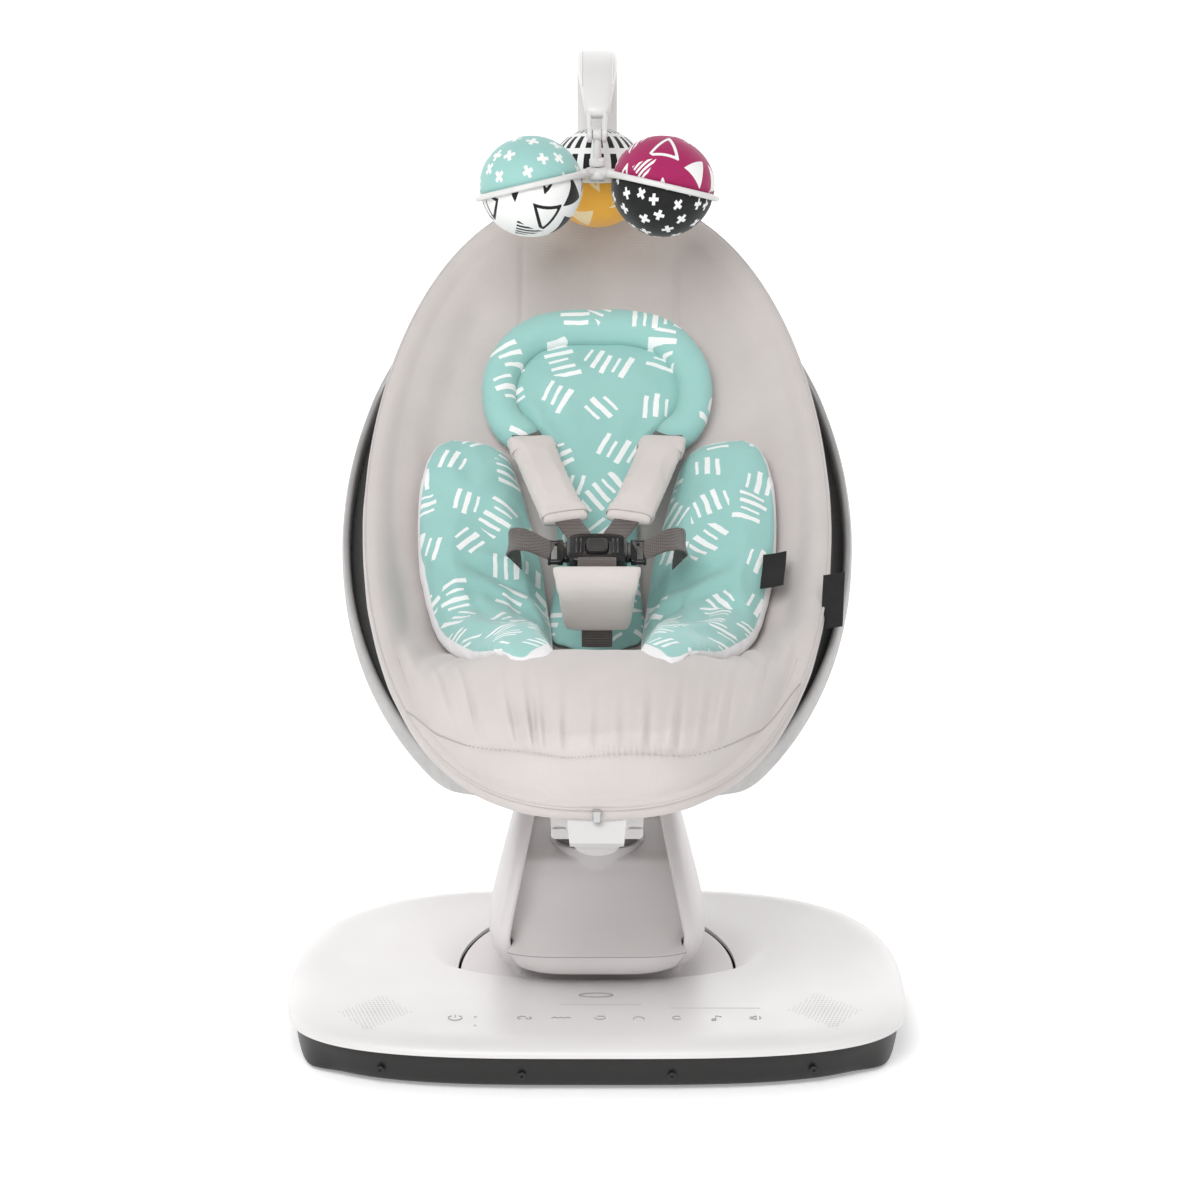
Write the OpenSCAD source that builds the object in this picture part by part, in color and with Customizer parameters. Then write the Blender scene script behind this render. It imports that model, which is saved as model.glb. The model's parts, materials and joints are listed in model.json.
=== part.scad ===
// Powered baby swing: a low base with a control deck, a boot-shaped tower that sways and lifts,
// and an egg-shaped fabric seat on a curved rail that reclines, with a harness, an infant insert
// and a toy mobile. Millimetres, +Z up, origin on the floor under the base's middle, the foot end
// of the seat toward -Y and +X to the right of someone facing the seat.

/* [Base] */
// Width of the base cover
base_w = 482; // [470:1:500]
// How far the widest line of the base lies in front of the origin
base_y0 = -50; // [-55:1:-45]
// Depth of the base in front of its widest line
base_front = 148; // [144:1:152]
// Depth of the base behind its widest line
base_rear = 208; // [204:1:214]
// Height of the cover's lower edge
lip_z = 29; // [28:0.5:30]
// Height of the flat control deck
deck_z = 43; // [42:0.5:45]
// Rise of the cover from the deck to its rear crest
crest_rise = 16; // [14:0.5:18]

/* [Turntable] */
// Radius of the tilted turntable disc
disc_r = 108; // [104:0.5:110]
// Forward tilt of the turntable in degrees
disc_tilt = 11; // [10:0.5:12]
// Height of the middle of the disc
disc_z = 38; // [37:0.5:39]

/* [Tower] */
// Half of the tower's greatest width
tower_half_w = 85; // [80:1:88]
// Height of the tower's widest line
tower_wide_z = 84; // [80:1:88]
// Height of the cheeks on both sides of the hub
cheek_top = 190; // [184:1:192]
// Radius of the lift post
post_r = 34; // [33:0.5:34.5]

/* [Seat] */
// Half width factor of the egg-shaped rim
rim_half_w = 185; // [175:1:190]
// Radius of the rim tube
rim_r = 8; // [7:0.5:9]
// Radius of the curved support rail
rail_r = 383; // [381:0.5:385]
// Width of the support rail
rail_w = 34; // [30:1:36]
// Thickness of the support rail
rail_t = 18; // [14:1:20]
// Thickness of the padded sling
sling_t = 12; // [8:1:14]

/* [Mobile] */
// Radius of the plush balls
ball_r = 42; // [38:0.5:43]
// Distance of the balls from the middle of the spider
ball_reach = 61; // [60:0.5:63]

/* [Hidden] */

$fn = 64;
wall = 3;              // moulded wall of the base
foot_h = 3;            // rubber foot height
cover_pts = 64;        // points round the base outline
edge_in = 26;          // how far the rounded edge of the cover reaches in
disc_y = -8;           // middle of the turntable
disc_t = 6;            // thickness of the turntable
dish_y = 38;           // middle of the dish in the cover
hole_gap = 2;          // gap round the turntable
post_y = 14;           // axis of the lift post
tower_floor = 48;      // lowest edge of the tower shells
pivot = [-57, 561];    // y and z of the recline axis
foot_end = [-245, 227];   // y and z of the rim's foot end
head_end = [335, 597];    // y and z of the rim's head end
rim_sag = 50;          // sag of the rim seen from the side
hoop_sag = 84;         // sag of the outer hoop seen from the side
hoop_drop = 18;        // the hoop runs this far behind the rim
rim_in = 8.5;          // the rim tube lies this far inside the cover's edge
chord = norm(head_end - foot_end);
along = (head_end - foot_end) / chord;      // unit vector from foot to head
below = [along[1], -along[0]];              // unit vector away from the occupant
// sag of the sling's middle line: distance from the foot end, distance below the rim's plane
sling_line = [[0, 0], [30, -38], [85, -52], [140, -38], [200, 38], [262, 100], [330, 98],
              [430, 72], [560, 36], [chord, 0]];
gear_m = 1.5;          // tooth module of the sway drive
gear_teeth = 64;
pinion_teeth = 16;
gear_gap = 0.4;        // added to the sway gears' centre distance
rack_m = 1.5;          // tooth module of the lift drive
lift_teeth = 12;
rack_gap = 0.3;        // added between the rack and its pinion
rack_y = 36;           // pitch line of the rack
lift_tooth = 10;       // the rack tooth that the lift pinion meets at rest
buckle_at = [0, 5, 379];
buckle_tilt = 23;      // slope of the buckle's face
buckle_up = [0, cos(buckle_tilt), sin(buckle_tilt)];
arm_y = 296;           // middle of the mobile arm's arch
arm_z = 644.5;
arm_r = 74;
arm_w = 34;
arm_t = 13;
nose_angle = 64;       // the arch ends this far in front of its top
spider_y = 222;        // the mobile hangs here
link_top = 668;
spider_z = 636;
ball_drop = 5;         // the front balls hang below the spider's middle
rear_ball_drop = 8;
hoop_r = ball_r + 2.2; // hoops round the balls
hoop_lean = 13;        // the hoops slope down to the sides
hoop_pitch = 10;       // and to the rear

/* ---------- shared functions ---------- */

function flat(v) = [for (row = v) each row];
function power(v, p) = sign(v) * pow(abs(v), p);
function ease(v, a, b) = let (u = max(0, min(1, (v - a) / (b - a)))) u * u * (3 - 2 * u);

// point of a superellipse with different fronts and rears, angle from +Y toward +X
function super_pt(a, front, rear, n, t) =
  [a * power(sin(t), 2 / n), (cos(t) > 0 ? rear : front) * power(cos(t), 2 / n)];

// smooth curve through points of rising x
function slope(p, i) =
  let (a = max(i - 1, 0), b = min(i + 1, len(p) - 1))
  (p[b][1] - p[a][1]) / (p[b][0] - p[a][0]);
function piece(p, x, i = 0) = (i >= len(p) - 2 || x <= p[i + 1][0]) ? i : piece(p, x, i + 1);
function curve(p, x) =
  let (i = piece(p, x), h = p[i + 1][0] - p[i][0], u = (x - p[i][0]) / h)
  (2 * u^3 - 3 * u^2 + 1) * p[i][1] + (u^3 - 2 * u^2 + u) * slope(p, i) * h
  + (3 * u^2 - 2 * u^3) * p[i + 1][1] + (u^3 - u^2) * slope(p, i + 1) * h;

// closed smooth outline through a few points, steps points per span
function blend4(a, b, c, d, u) =
  0.5 * (2 * b + (c - a) * u + (2 * a - 5 * b + 4 * c - d) * u^2 + (3 * b - a - 3 * c + d) * u^3);
function loop_curve(p, steps) =
  let (n = len(p))
  [for (i = [0:n - 1], s = [0:steps - 1])
    blend4(p[(i + n - 1) % n], p[i], p[(i + 1) % n], p[(i + 2) % n], s / steps)];
function mirrored(p) = [for (i = [len(p) - 1:-1:0]) [-p[i][0], p[i][1]]];

/* ---------- shared solids ---------- */

// quads between row a and row b of a point list with n points in a row
function band(a, b, n, closed) =
  [for (j = [0:n - (closed ? 1 : 2)])
    let (k = (j + 1) % n) each [[a + j, a + k, b + k], [a + j, b + k, b + j]]];

// rings stacked upward, each ring clockwise seen from above; caps close both ends
module stacked(rings) {
  n = len(rings[0]);
  last = (len(rings) - 1) * n;
  polyhedron(flat(rings), concat(
    [for (k = [0:len(rings) - 2]) each band(k * n, (k + 1) * n, n, true)],
    [[for (j = [n - 1:-1:0]) j], [for (j = [0:n - 1]) last + j]]));
}

// rings that close into a loop
module looped(rings) {
  n = len(rings[0]);
  m = len(rings);
  polyhedron(flat(rings), [for (k = [0:m - 1]) each band(k * n, ((k + 1) % m) * n, n, true)]);
}

// solid between two grids of points with the same rows and columns, top above bottom
module between(top, bottom) {
  m = len(top);
  n = len(top[0]);
  low = m * n;
  up = [for (i = [0:m - 2], j = [0:n - 2])
    let (a = i * n + j) each [[a, a + n, a + n + 1], [a, a + n + 1, a + 1]]];
  down = [for (f = up) [low + f[2], low + f[1], low + f[0]]];
  edge = concat([for (i = [0:m - 1]) i * n], [for (j = [1:n - 1]) (m - 1) * n + j],
                [for (i = [m - 2:-1:0]) i * n + n - 1], [for (j = [n - 2:-1:1]) j]);
  e = len(edge);
  side = [for (k = [0:e - 1]) let (a = edge[k], b = edge[(k + 1) % e])
    each [[a, low + a, low + b], [a, low + b, b]]];
  polyhedron(concat(flat(top), flat(bottom)), concat(up, down, side));
}

// rectangular bar swept through points, its width along a given direction
module ribbon(path, w, t, wide = [1, 0, 0]) {
  m = len(path);
  rings = [for (i = [0:m - 1])
    let (d = path[min(i + 1, m - 1)] - path[max(i - 1, 0)], s = cross(d, wide), n = s / norm(s),
         a = cross(n, d), x = a / norm(a) * w / 2, y = n * t / 2)
    [path[i] - x - y, path[i] - x + y, path[i] + x + y, path[i] + x - y]];
  stacked(rings);
}

function gear_outline(teeth, m) =
  let (r = teeth * m / 2, pitch = 360 / teeth)
  [for (i = [0:teeth - 1], s = [[-0.3, -1.15], [-0.13, 0.85], [0.13, 0.85], [0.3, -1.15]])
    let (a = (i + s[0]) * pitch, q = r + s[1] * m) [q * sin(a), q * cos(a)]];

module tilted() {
  translate([0, disc_y, disc_z]) rotate([disc_tilt, 0, 0]) children();
}
// all of the space below the turntable's upper face
module under_disc(gap) {
  tilted() translate([-150, -150, gap - 60]) cube([300, 300, 60]);
}

/* ---------- base ---------- */

function base_pt(t, in, n = 3.3) =
  let (p = super_pt(base_w / 2 - in, base_front - in, base_rear - in, n, t)) [p[0], base_y0 + p[1]];
function top_z(y) = deck_z + crest_rise * pow(max(0, y + 60) / 200, 1.3) - 3 * pow(max(0, -60 - y) / 138, 2);
function plane_z(y) = disc_z + (y - disc_y) * tan(disc_tilt);

// the dish: its rim in the cover and the hole round the turntable, both about [0, dish_y]
function rim_reach(t) =
  1 / pow(pow(abs(sin(t)) / 137, 2.5) + pow(abs(cos(t)) / (cos(t) > 0 ? 95 : 88), 2.5), 1 / 2.5);
function circle_reach(t) =
  let (off = dish_y - disc_y, r = disc_r + hole_gap) sqrt(r * r - pow(off * sin(t), 2)) - off * cos(t);
function hole_reach(t) =
  let (front = cos(t) < 0 ? 84 / -cos(t) : 1e6)
  pow(pow(circle_reach(t), -12) + pow(front, -12), -1 / 12);
function dish_pt(t, f) =
  let (r = rim_reach(t) + (hole_reach(t) - rim_reach(t)) * f) [r * sin(t), dish_y + r * cos(t)];
function hole_z(y) = plane_z(y) + 0.5 + 3.5 * min(1, max(0, (-18 - y) / 20));

function cover_edge(a, skin) =
  [for (i = [0:cover_pts - 1])
    let (t = i * 360 / cover_pts, p = base_pt(t, skin + (edge_in - skin) * (1 - cos(a))),
         z = lip_z + (top_z(p[1]) - lip_z - skin) * pow(sin(a), 0.8))
    [p[0], p[1], z]];
function cover_flat(f, skin) =
  [for (i = [0:cover_pts - 1])
    let (t = i * 360 / cover_pts, p = base_pt(t, edge_in), q = dish_pt(t, 0), r = p + (q - p) * f)
    [r[0], r[1], top_z(r[1]) - skin]];
function cover_dish(f, skin) =
  [for (i = [0:cover_pts - 1])
    let (t = i * 360 / cover_pts, p = dish_pt(t, f), e = dish_pt(t, 1),
         high = top_z(p[1]), low = hole_z(e[1]), g = pow(1 - f, 1.6))
    [p[0], p[1], low + (high - low) * g - skin]];

module base_cover() {
  outer = concat([for (a = [0, 18, 36, 54, 72, 90]) cover_edge(a, 0)],
                 [for (f = [0.5, 0.96]) cover_flat(f, 0)],
                 [for (f = [0.08, 0.4, 0.7, 1]) cover_dish(f, 0)]);
  inner = concat([for (f = [1, 0.4]) cover_dish(f, wall)],
                 [for (f = [0.9, 0.5]) cover_flat(f, wall)],
                 [for (a = [90, 60, 30, 0]) cover_edge(a, wall)]);
  color("#ece9e8") looped(concat(outer, inner));
}

module base_outline(in) polygon([for (i = [0:95]) base_pt(i * 3.75, in)]);

module base_pan() {
  color("#3a3837") difference() {
    translate([0, 0, foot_h]) linear_extrude(lip_z - foot_h + 1) base_outline(4.5);
    translate([0, 0, foot_h + wall]) linear_extrude(lip_z) base_outline(4.5 + wall);
    for (x = [-165, -57, 57, 165]) screw_place(x) cylinder(r = 3.2, h = 12, center = true);
    translate([60, 0, 18]) rotate([-90, 0, 0]) cylinder(r = 8.05, h = 300);
    translate([95, 0, 18]) rotate([-90, 0, 0]) cylinder(r = 4.05, h = 300);
  }
}

// the skirt's front face at a given x, facing -Y
function skirt_y(x) =
  base_y0 - (base_front - 4.5) * pow(1 - pow(abs(x) / (base_w / 2 - 4.5), 3.3), 1 / 3.3);
module screw_place(x) translate([x, skirt_y(x), 13]) rotate([90, 0, 0]) children();

module base_screws() {
  color("#222222") for (x = [-165, -57, 57, 165]) screw_place(x) translate([0, 0, -3.5]) difference() {
    cylinder(r = 3, h = 2.5);
    translate([0, 0, 1.2]) cylinder(r = 1.6, h = 2, $fn = 6);
  }
}

module rubber_feet() {
  color("#202020") for (p = [[0, 0], [-165, -130], [165, -130], [-150, 95], [150, 95]])
    translate([p[0], p[1], 0]) cylinder(r = 16, h = foot_h);
}

module control_board() {
  color("#2f6b45") translate([-150, -160, 28]) cube([300, 40, 1.6]);
  color("#e8e8e8") for (x = [-117:39:117]) translate([x, -140, 29.6]) cylinder(r = 8, h = 4);
  color("#404040") for (x = [-100, 100]) translate([x, -140, foot_h + wall]) cylinder(r = 4, h = 28 - foot_h - wall);
}

module main_board() {
  color("#2f6b45") translate([-205, -20, 12]) cube([70, 100, 1.6]);
  color("#1b1b1b") for (p = [[-195, 0], [-180, 40], [-160, 20]]) translate([p[0], p[1], 13.6]) cube([14, 14, 3]);
  color("#b0b0b0") for (p = [[-200, 60], [-150, -10]]) translate([p[0], p[1], 13.6]) cylinder(r = 4, h = 9);
  color("#404040") for (p = [[-198, -12], [-142, -12], [-198, 72], [-142, 72]])
    translate([p[0], p[1], foot_h + wall]) cylinder(r = 3, h = 12 - foot_h - wall);
}

module speaker(x) {
  translate([x, -128, 0]) {
    color("#4a4a4a") translate([0, 0, foot_h + wall]) cylinder(r = 14, h = 10);
    color("#202020") translate([0, 0, foot_h + wall + 10]) cylinder(r1 = 14, r2 = 25, h = 10);
    color("#303030") translate([0, 0, foot_h + wall + 20]) cylinder(r = 27, h = 3);
  }
}
module speaker_left() speaker(-178);
module speaker_right() speaker(178);

module power_inlet() {
  color("#181818") translate([60, 0, 18]) rotate([-90, 0, 0]) translate([0, 0, 123]) difference() {
    union() {
      cylinder(r = 8, h = 30);
      translate([0, 0, -12]) cylinder(r = 6, h = 12);
    }
    translate([0, 0, 16]) cylinder(r = 2.8, h = 15);
  }
}

module audio_jack() {
  color("#181818") translate([95, 0, 18]) rotate([-90, 0, 0]) translate([0, 0, 121]) difference() {
    cylinder(r = 4, h = 32);
    translate([0, 0, 14]) cylinder(r = 1.75, h = 19);
  }
}

/* ---------- sway drive under the turntable ---------- */

sway_axis = (gear_teeth + pinion_teeth) * gear_m / 2 + gear_gap;

module bearing_plate() {
  color("#8d9196") difference() {
    union() {
      tilted() translate([-45, -24, -24]) cube([90, 108, 2]);
      for (p = [[-36, -22], [36, -22], [-36, 66], [36, 66]])
        translate([p[0], p[1], foot_h + wall]) cylinder(r = 4, h = plane_z(p[1]) - 24.4 - foot_h - wall);
    }
    tilted() translate([0, sway_axis, -30]) cylinder(r = 3.06, h = 10);
  }
}

module slew_bush() {
  color("#c9a227") tilted() difference() {
    translate([0, 0, -22]) cylinder(r = 16, h = 7);
    translate([0, 0, -21]) cylinder(r = 8.06, h = 10);
  }
}

module sway_motor() {
  color("#5b5f66") tilted() translate([0, sway_axis, -36]) difference() {
    cylinder(r = 19, h = 12);
    translate([0, 0, 4]) cylinder(r = 3.06, h = 10);
  }
}

module sway_pinion() {
  color("#e6e0cc") tilted() translate([0, sway_axis, 0]) {
    translate([0, 0, -14]) linear_extrude(7) rotate(180 / pinion_teeth) polygon(gear_outline(pinion_teeth, gear_m));
    translate([0, 0, -31]) cylinder(r = 3, h = 17);
  }
}

module turntable_disc() {
  color("#dcd9d8") tilted() {
    translate([0, 0, -disc_t]) cylinder(r = disc_r, h = disc_t, $fn = 128);
    translate([0, 0, -14.5]) cylinder(r = 18, h = 14.5 - disc_t);
    translate([0, 0, -20.5]) cylinder(r = 8, h = 6);
  }
}

module sway_gear() {
  color("#e6e0cc") tilted() translate([0, 0, -14]) linear_extrude(14 - disc_t) difference() {
    polygon(gear_outline(gear_teeth, gear_m));
    circle(r = 18);
  }
}

/* ---------- tower ---------- */

function tower_w(z) = z < tower_wide_z
  ? tower_half_w * sqrt(1 - pow((tower_wide_z - z) / 57, 2.4))
  : tower_half_w - 0.17 * pow(z - tower_wide_z, 1.08);
function tower_rear(z) = z < tower_wide_z
  ? 72 * sqrt(1 - pow((tower_wide_z - z) / 57, 2.4))
  : 72 - 0.13 * pow(z - tower_wide_z, 1.05);
cheek_line = [[tower_floor, -40], [72, -64], [92, -67], [136, -50], [cheek_top, -14]];
tower_n = 4;           // squareness of the tower's plan
cheek_arc = 130;       // the shell reaches this far round from the rear
shell_t = 4;           // rear wall
cheek_t = 10;          // double-walled cheeks

// where the plan of the shell would close in front, so that the cheeks end on cheek_line
function cheek_front(z) = -curve(cheek_line, z) / pow(-cos(cheek_arc), 2 / tower_n);
// one upright row of the shell at angle t, s from 0 at the bottom to 1 at the top
function shell_top(t) = 158 + (cheek_top - 158) * pow(sin(min(90, max(0, abs(t) - 40) * 1.8)), 2);
function shell_pt(t, s, in) =
  let (z = tower_floor + s * (shell_top(t) - tower_floor),
       front = cheek_front(z),
       side = in * cheek_t, back = in * shell_t)
  [(tower_w(z) - side) * power(sin(t), 2 / tower_n),
   (cos(t) > 0 ? tower_rear(z) - back : front) * power(cos(t), 2 / tower_n), z];

module tower_rear_shell() {
  angles = [for (i = [16:-1:-16]) i * cheek_arc / 16];
  color("#e9e6e5") difference() {
    between([for (k = [0:10]) [for (t = angles) shell_pt(t, k / 10, 0)]],
            [for (k = [0:10]) [for (t = angles) shell_pt(t, k / 10, 1)]]);
    under_disc(0.3);
  }
}

// middle profile of the front panel: underside, toe, crease, shelf, back panel and collar deck
panel_line = [[-30, 50], [-62, 52], [-74, 58], [-84, 73], [-66, 78], [-46, 89], [-33, 107],
              [-26, 124], [-19, 134], [0, 139], [30, 145], [56, 150]];
function panel_normal(i) =
  let (a = panel_line[max(i - 1, 0)], b = panel_line[min(i + 1, len(panel_line) - 1)], d = b - a)
  [-d[1], d[0]] / norm(d);
toe_w = [46, 50, 60, 69.5];
function between_cheeks(y, z) =
  let (reach = y < 0 ? cheek_front(z) : tower_rear(z) - shell_t)
  (tower_w(z) - cheek_t) * pow(max(0.02, 1 - pow(abs(y) / reach, tower_n)), 1 / tower_n) - 0.4;
function panel_row(i, in) =
  [for (j = [-8:8])
    let (u = j / 8, p = panel_line[i] - panel_normal(i) * in,
         w = i < len(toe_w) ? toe_w[i] : between_cheeks(panel_line[i][0], panel_line[i][1]),
         back = 12 * pow(abs(u), 5) * (i > 0 && i < 5 ? 1 : 0))
    [u * w, p[0] + back, p[1]]];

module tower_front_panel() {
  rows = len(panel_line);
  color("#efecec") difference() {
    between([for (i = [0:rows - 1]) panel_row(i, 0)], [for (i = [0:rows - 1]) panel_row(i, wall)]);
    translate([0, post_y, 120]) cylinder(r = post_r + 3.5, h = 60);
  }
}

module pedestal() {
  color("#dedbda") {
    difference() {
      translate([0, 18, 20]) linear_extrude(tower_floor - 20) polygon(
        [for (i = [0:47]) super_pt(66, 43, 43, 5, i * 7.5)]);
      under_disc(0);
    }
    difference() {
      translate([0, 0, tower_floor]) linear_extrude(4) difference() {
        polygon([for (i = [0:47]) super_pt(56, 28, 52, 4, i * 7.5)]);
        translate([0, post_y]) circle(r = 8);
      }
      under_disc(0);
    }
  }
}

module tower_screws() {
  color("#777777") for (x = [-30, 30], z = [70, 135]) translate([x, tower_rear(z), z])
    rotate([90, 0, 0]) difference() {
      cylinder(r = 3, h = 10);
      translate([0, 0, -1]) cylinder(r = 1.5, h = 3, $fn = 6);
    }
}

module collar_ring() {
  color("#1c1c1c") translate([0, post_y, 128]) difference() {
    cylinder(r = post_r + 3.4, h = 9);
    translate([0, 0, -1]) cylinder(r = post_r + 0.6, h = 12);
  }
}

/* ---------- lift ---------- */

rod_x = 47;
carriage_z = 76;
lift_axis_z = carriage_z + 6 + (lift_tooth + 0.5) * PI * rack_m;

module guide_rods() {
  color("#c4c8cc") for (x = [-rod_x, rod_x]) translate([x, post_y + 10, tower_floor + 4]) cylinder(r = 4, h = 78);
}

module lift_carriage() {
  color("#d8d2c2") translate([0, 0, carriage_z]) difference() {
    union() {
      translate([-rod_x, post_y + 4, 0]) cube([2 * rod_x, 12, 6]);
      translate([0, post_y, 0]) cylinder(r = post_r, h = 6);
      for (x = [-rod_x, rod_x]) translate([x, post_y + 10, 0]) cylinder(r = 8, h = 13);
    }
    translate([0, post_y, -1]) cylinder(r = post_r - 5, h = 20);
    for (x = [-rod_x, rod_x]) translate([x, post_y + 10, -1]) cylinder(r = 4.05, h = 20);
  }
}

module post_tube() {
  color("#6f6d6c") translate([0, post_y, carriage_z + 6]) difference() {
    cylinder(r = post_r, h = 158 - carriage_z - 6);
    translate([0, 0, -1]) cylinder(r = post_r - 5, h = 100);
  }
}

module post_rack() {
  pitch = PI * rack_m;
  color("#e6e0cc") translate([-4, 0, carriage_z + 6]) rotate([90, 0, 90]) linear_extrude(8) polygon(concat(
    [[post_y + post_r - 5.3, 0], [post_y + post_r - 5.3, 74]],
    [for (i = [15:-1:0], s = [[0.8, 1], [0.63, -0.85], [0.37, -0.85], [0.2, 1]])
      [rack_y + s[1] * rack_m, (i + s[0]) * pitch]]));
}

module lift_pinion() {
  r = lift_teeth * rack_m / 2;
  color("#e6e0cc") translate([0, rack_y - r - rack_gap, lift_axis_z]) rotate([0, 90, 0]) {
    translate([0, 0, -3.5]) linear_extrude(7) rotate(180 / lift_teeth) polygon(gear_outline(lift_teeth, rack_m));
    translate([0, 0, -16]) cylinder(r = 2.5, h = 12.5);
  }
}

module lift_motor() {
  r = lift_teeth * rack_m / 2;
  color("#5b5f66") difference() {
    translate([-18, -6, tower_floor + 4]) cube([13, 38, 92]);
    translate([-30, rack_y - r - rack_gap, lift_axis_z]) rotate([0, 90, 0]) cylinder(r = 2.55, h = 40);
  }
}

module coil(r, wire, turns, h) {
  steps = 10 * turns;
  rings = [for (i = [0:steps])
    let (a = i * 36, z = wire + (h - 2 * wire) * i / steps)
    [for (k = [0:5]) let (b = k * 60)
      [(r + wire * cos(b)) * cos(a), (r + wire * cos(b)) * sin(a), z + wire * sin(b)]]];
  stacked(rings);
}

module lift_springs() {
  color("#9a9da0") for (x = [-rod_x, rod_x])
    translate([x, post_y + 10, tower_floor + 4]) coil(6, 0.9, 5, carriage_z - tower_floor - 4.2);
}

// a bar bent round the recline axis: half width, radii, and angles from straight down toward +Y
module arc_bar(half, r_in, r_out, a0, a1) {
  translate([0, pivot[0], pivot[1]]) rotate([0, 90, 0]) rotate(a0) rotate_extrude(angle = a1 - a0, $fn = 96)
    translate([r_in, -half]) square([r_out - r_in, 2 * half]);
}

hub_a0 = 1;
hub_a1 = 19;

module hub_tab() {
  translate([0, -40, 0]) rotate([90, 0, 0]) linear_extrude(10) difference() {
    union() {
      polygon([[-36, 178], [36, 178], [36, 172], [25, 163], [17, 150], [-17, 150], [-25, 163], [-36, 172]]);
      intersection() {
        translate([0, 162]) circle(r = 19);
        translate([-17, 140]) square([34, 15]);
      }
    }
    translate([0, 166]) circle(r = 2.2);
  }
}

module hub_lower() {
  color("#f1efee") {
    difference() {
      union() {
        arc_bar(36, rail_r, rail_r + 20, hub_a0, hub_a1);
        translate([0, post_y, 158]) cylinder(r = post_r, h = 22);
        hub_tab();
        for (x = [-24, 17]) lever_place() translate([x, 0, 0]) rotate([0, 90, 0]) cylinder(r = 7, h = 7);
        for (x = [-24, 17]) lever_place() translate([x, -19, 0]) cube([7, 19, 7]);
      }
      arc_bar(rail_w / 2 + 0.5, rail_r - rail_t / 2 - 0.5, rail_r + rail_t / 2 + 0.5, hub_a0 - 8, hub_a1 + 8);
      translate([0, pivot[0], pivot[1]]) rotate([0, 90, 0]) cylinder(r = rail_r, h = 100, center = true, $fn = 192);
    }
    lever_place() rotate([0, 90, 0]) cylinder(r = 2.95, h = 46, center = true);
  }
}

module hub_cap() {
  color("#f1efee") difference() {
    arc_bar(36, rail_r - 20, rail_r, hub_a0, hub_a1);
    arc_bar(rail_w / 2 + 0.5, rail_r - rail_t / 2 - 0.5, rail_r + rail_t / 2 + 0.5, hub_a0 - 8, hub_a1 + 8);
  }
}

lever_angle = 21.5;
module lever_place() {
  translate([0, pivot[0] + (rail_r + 17) * sin(lever_angle), pivot[1] - (rail_r + 17) * cos(lever_angle)]) children();
}

module recline_lever() {
  color("#8f8d8c") lever_place() difference() {
    union() {
      rotate([0, 90, 0]) cylinder(r = 6, h = 33, center = true);
      rotate([-12, 0, 0]) translate([-16, 0, -5]) cube([32, 40, 5]);
      rotate([-12, 0, 0]) translate([0, 40, -5]) cylinder(r = 16, h = 5);
    }
    rotate([0, 90, 0]) cylinder(r = 3, h = 60, center = true);
  }
}

/* ---------- seat frame ---------- */

function sag(c, h) = let (r = (chord * chord / 4 + h * h) / (2 * h)) sqrt(r * r - pow(c - chord / 2, 2)) - (r - h);
function seat_pt(x, c, d) =
  let (p = foot_end + along * c + below * d) [x, p[0], p[1]];
function egg_c(a) = chord * (1 - cos(a)) / 2;
function rim_half(c) =
  let (k = max(-1, min(1, 1 - 2 * c / chord))) rim_half_w * pow(1 - k * k, 0.4265) * (1 - 0.054 * k);
function hoop_half(c) =
  let (k = max(-1, min(1, 1 - 2 * c / chord))) 198.7 * pow(1 - k * k, 0.598) * (1 - 0.174 * k);
function rim_path(a) =
  let (c = egg_c(a), n = [sin(a) * chord / 2, -cos(a) * rim_half_w], v = rim_in * n / norm(n))
  seat_pt(sign(sin(a)) * rim_half(c) - v[0], c - v[1], sag(c, rim_sag));
// the hoop stands clear of the rim at the sides and slips into it at both ends
function hoop_clear(a) = let (c = egg_c(a)) ease(c, 20, 130) * ease(chord - c, 60, 190);
function hoop_path(a) =
  let (c = egg_c(a), k = hoop_clear(a), hidden = rim_path(a) + [0, below[0], below[1]] * 3)
  hidden + (seat_pt(sign(sin(a)) * hoop_half(c), c, hoop_drop + sag(c, hoop_sag)) - hidden) * k;

egg_steps = 64;
module rim_tube() {
  rings = [for (i = [0:egg_steps - 1])
    let (a = (i + 0.5) * 360 / egg_steps, d = 1, p = rim_path(a),
         v = rim_path(a + d) - rim_path(a - d), n = [0, below[0], below[1]], s = cross(v, n), b = s / norm(s))
    [for (k = [0:7]) p + rim_r * (cos(k * 45) * b + sin(k * 45) * n)]];
  color("#b9b6b4") looped(rings);
}

module side_hoop() {
  rings = [for (i = [0:egg_steps - 1])
    let (a = (i + 0.5) * 360 / egg_steps, d = 1, p = hoop_path(a), h = 12 * (0.4 + 0.6 * hoop_clear(a)),
         v = hoop_path(a + d) - hoop_path(a - d), n = [0, below[0], below[1]], s = cross(v, n), b = s / norm(s))
    [for (k = [0:7]) p + 3.5 * power(cos(k * 45 + 22.5), 0.8) * b + h * power(sin(k * 45 + 22.5), 0.8) * n]];
  color("#a9aaab") looped(rings);
}

module rail() {
  color("#d9d8d7") arc_bar(rail_w / 2, rail_r - rail_t / 2, rail_r + rail_t / 2, -26, 92);
}

module foot_joiner() {
  color("#cfcccb") hull() {
    arc_bar(20, rail_r - 12, rail_r + 12, -28, -26.1);
    translate(seat_pt(0, 14, 9)) rotate([0, 90, 0]) cylinder(r = 6, h = 44, center = true);
  }
}

module head_joiner() {
  color("#cfcccb") hull() {
    arc_bar(20, rail_r - 12, rail_r + 12, 92.1, 94);
    translate(seat_pt(0, chord - 12, 14)) rotate([0, 90, 0]) cylinder(r = 7, h = 60, center = true);
  }
}

/* ---------- seat fabric ---------- */

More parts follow.
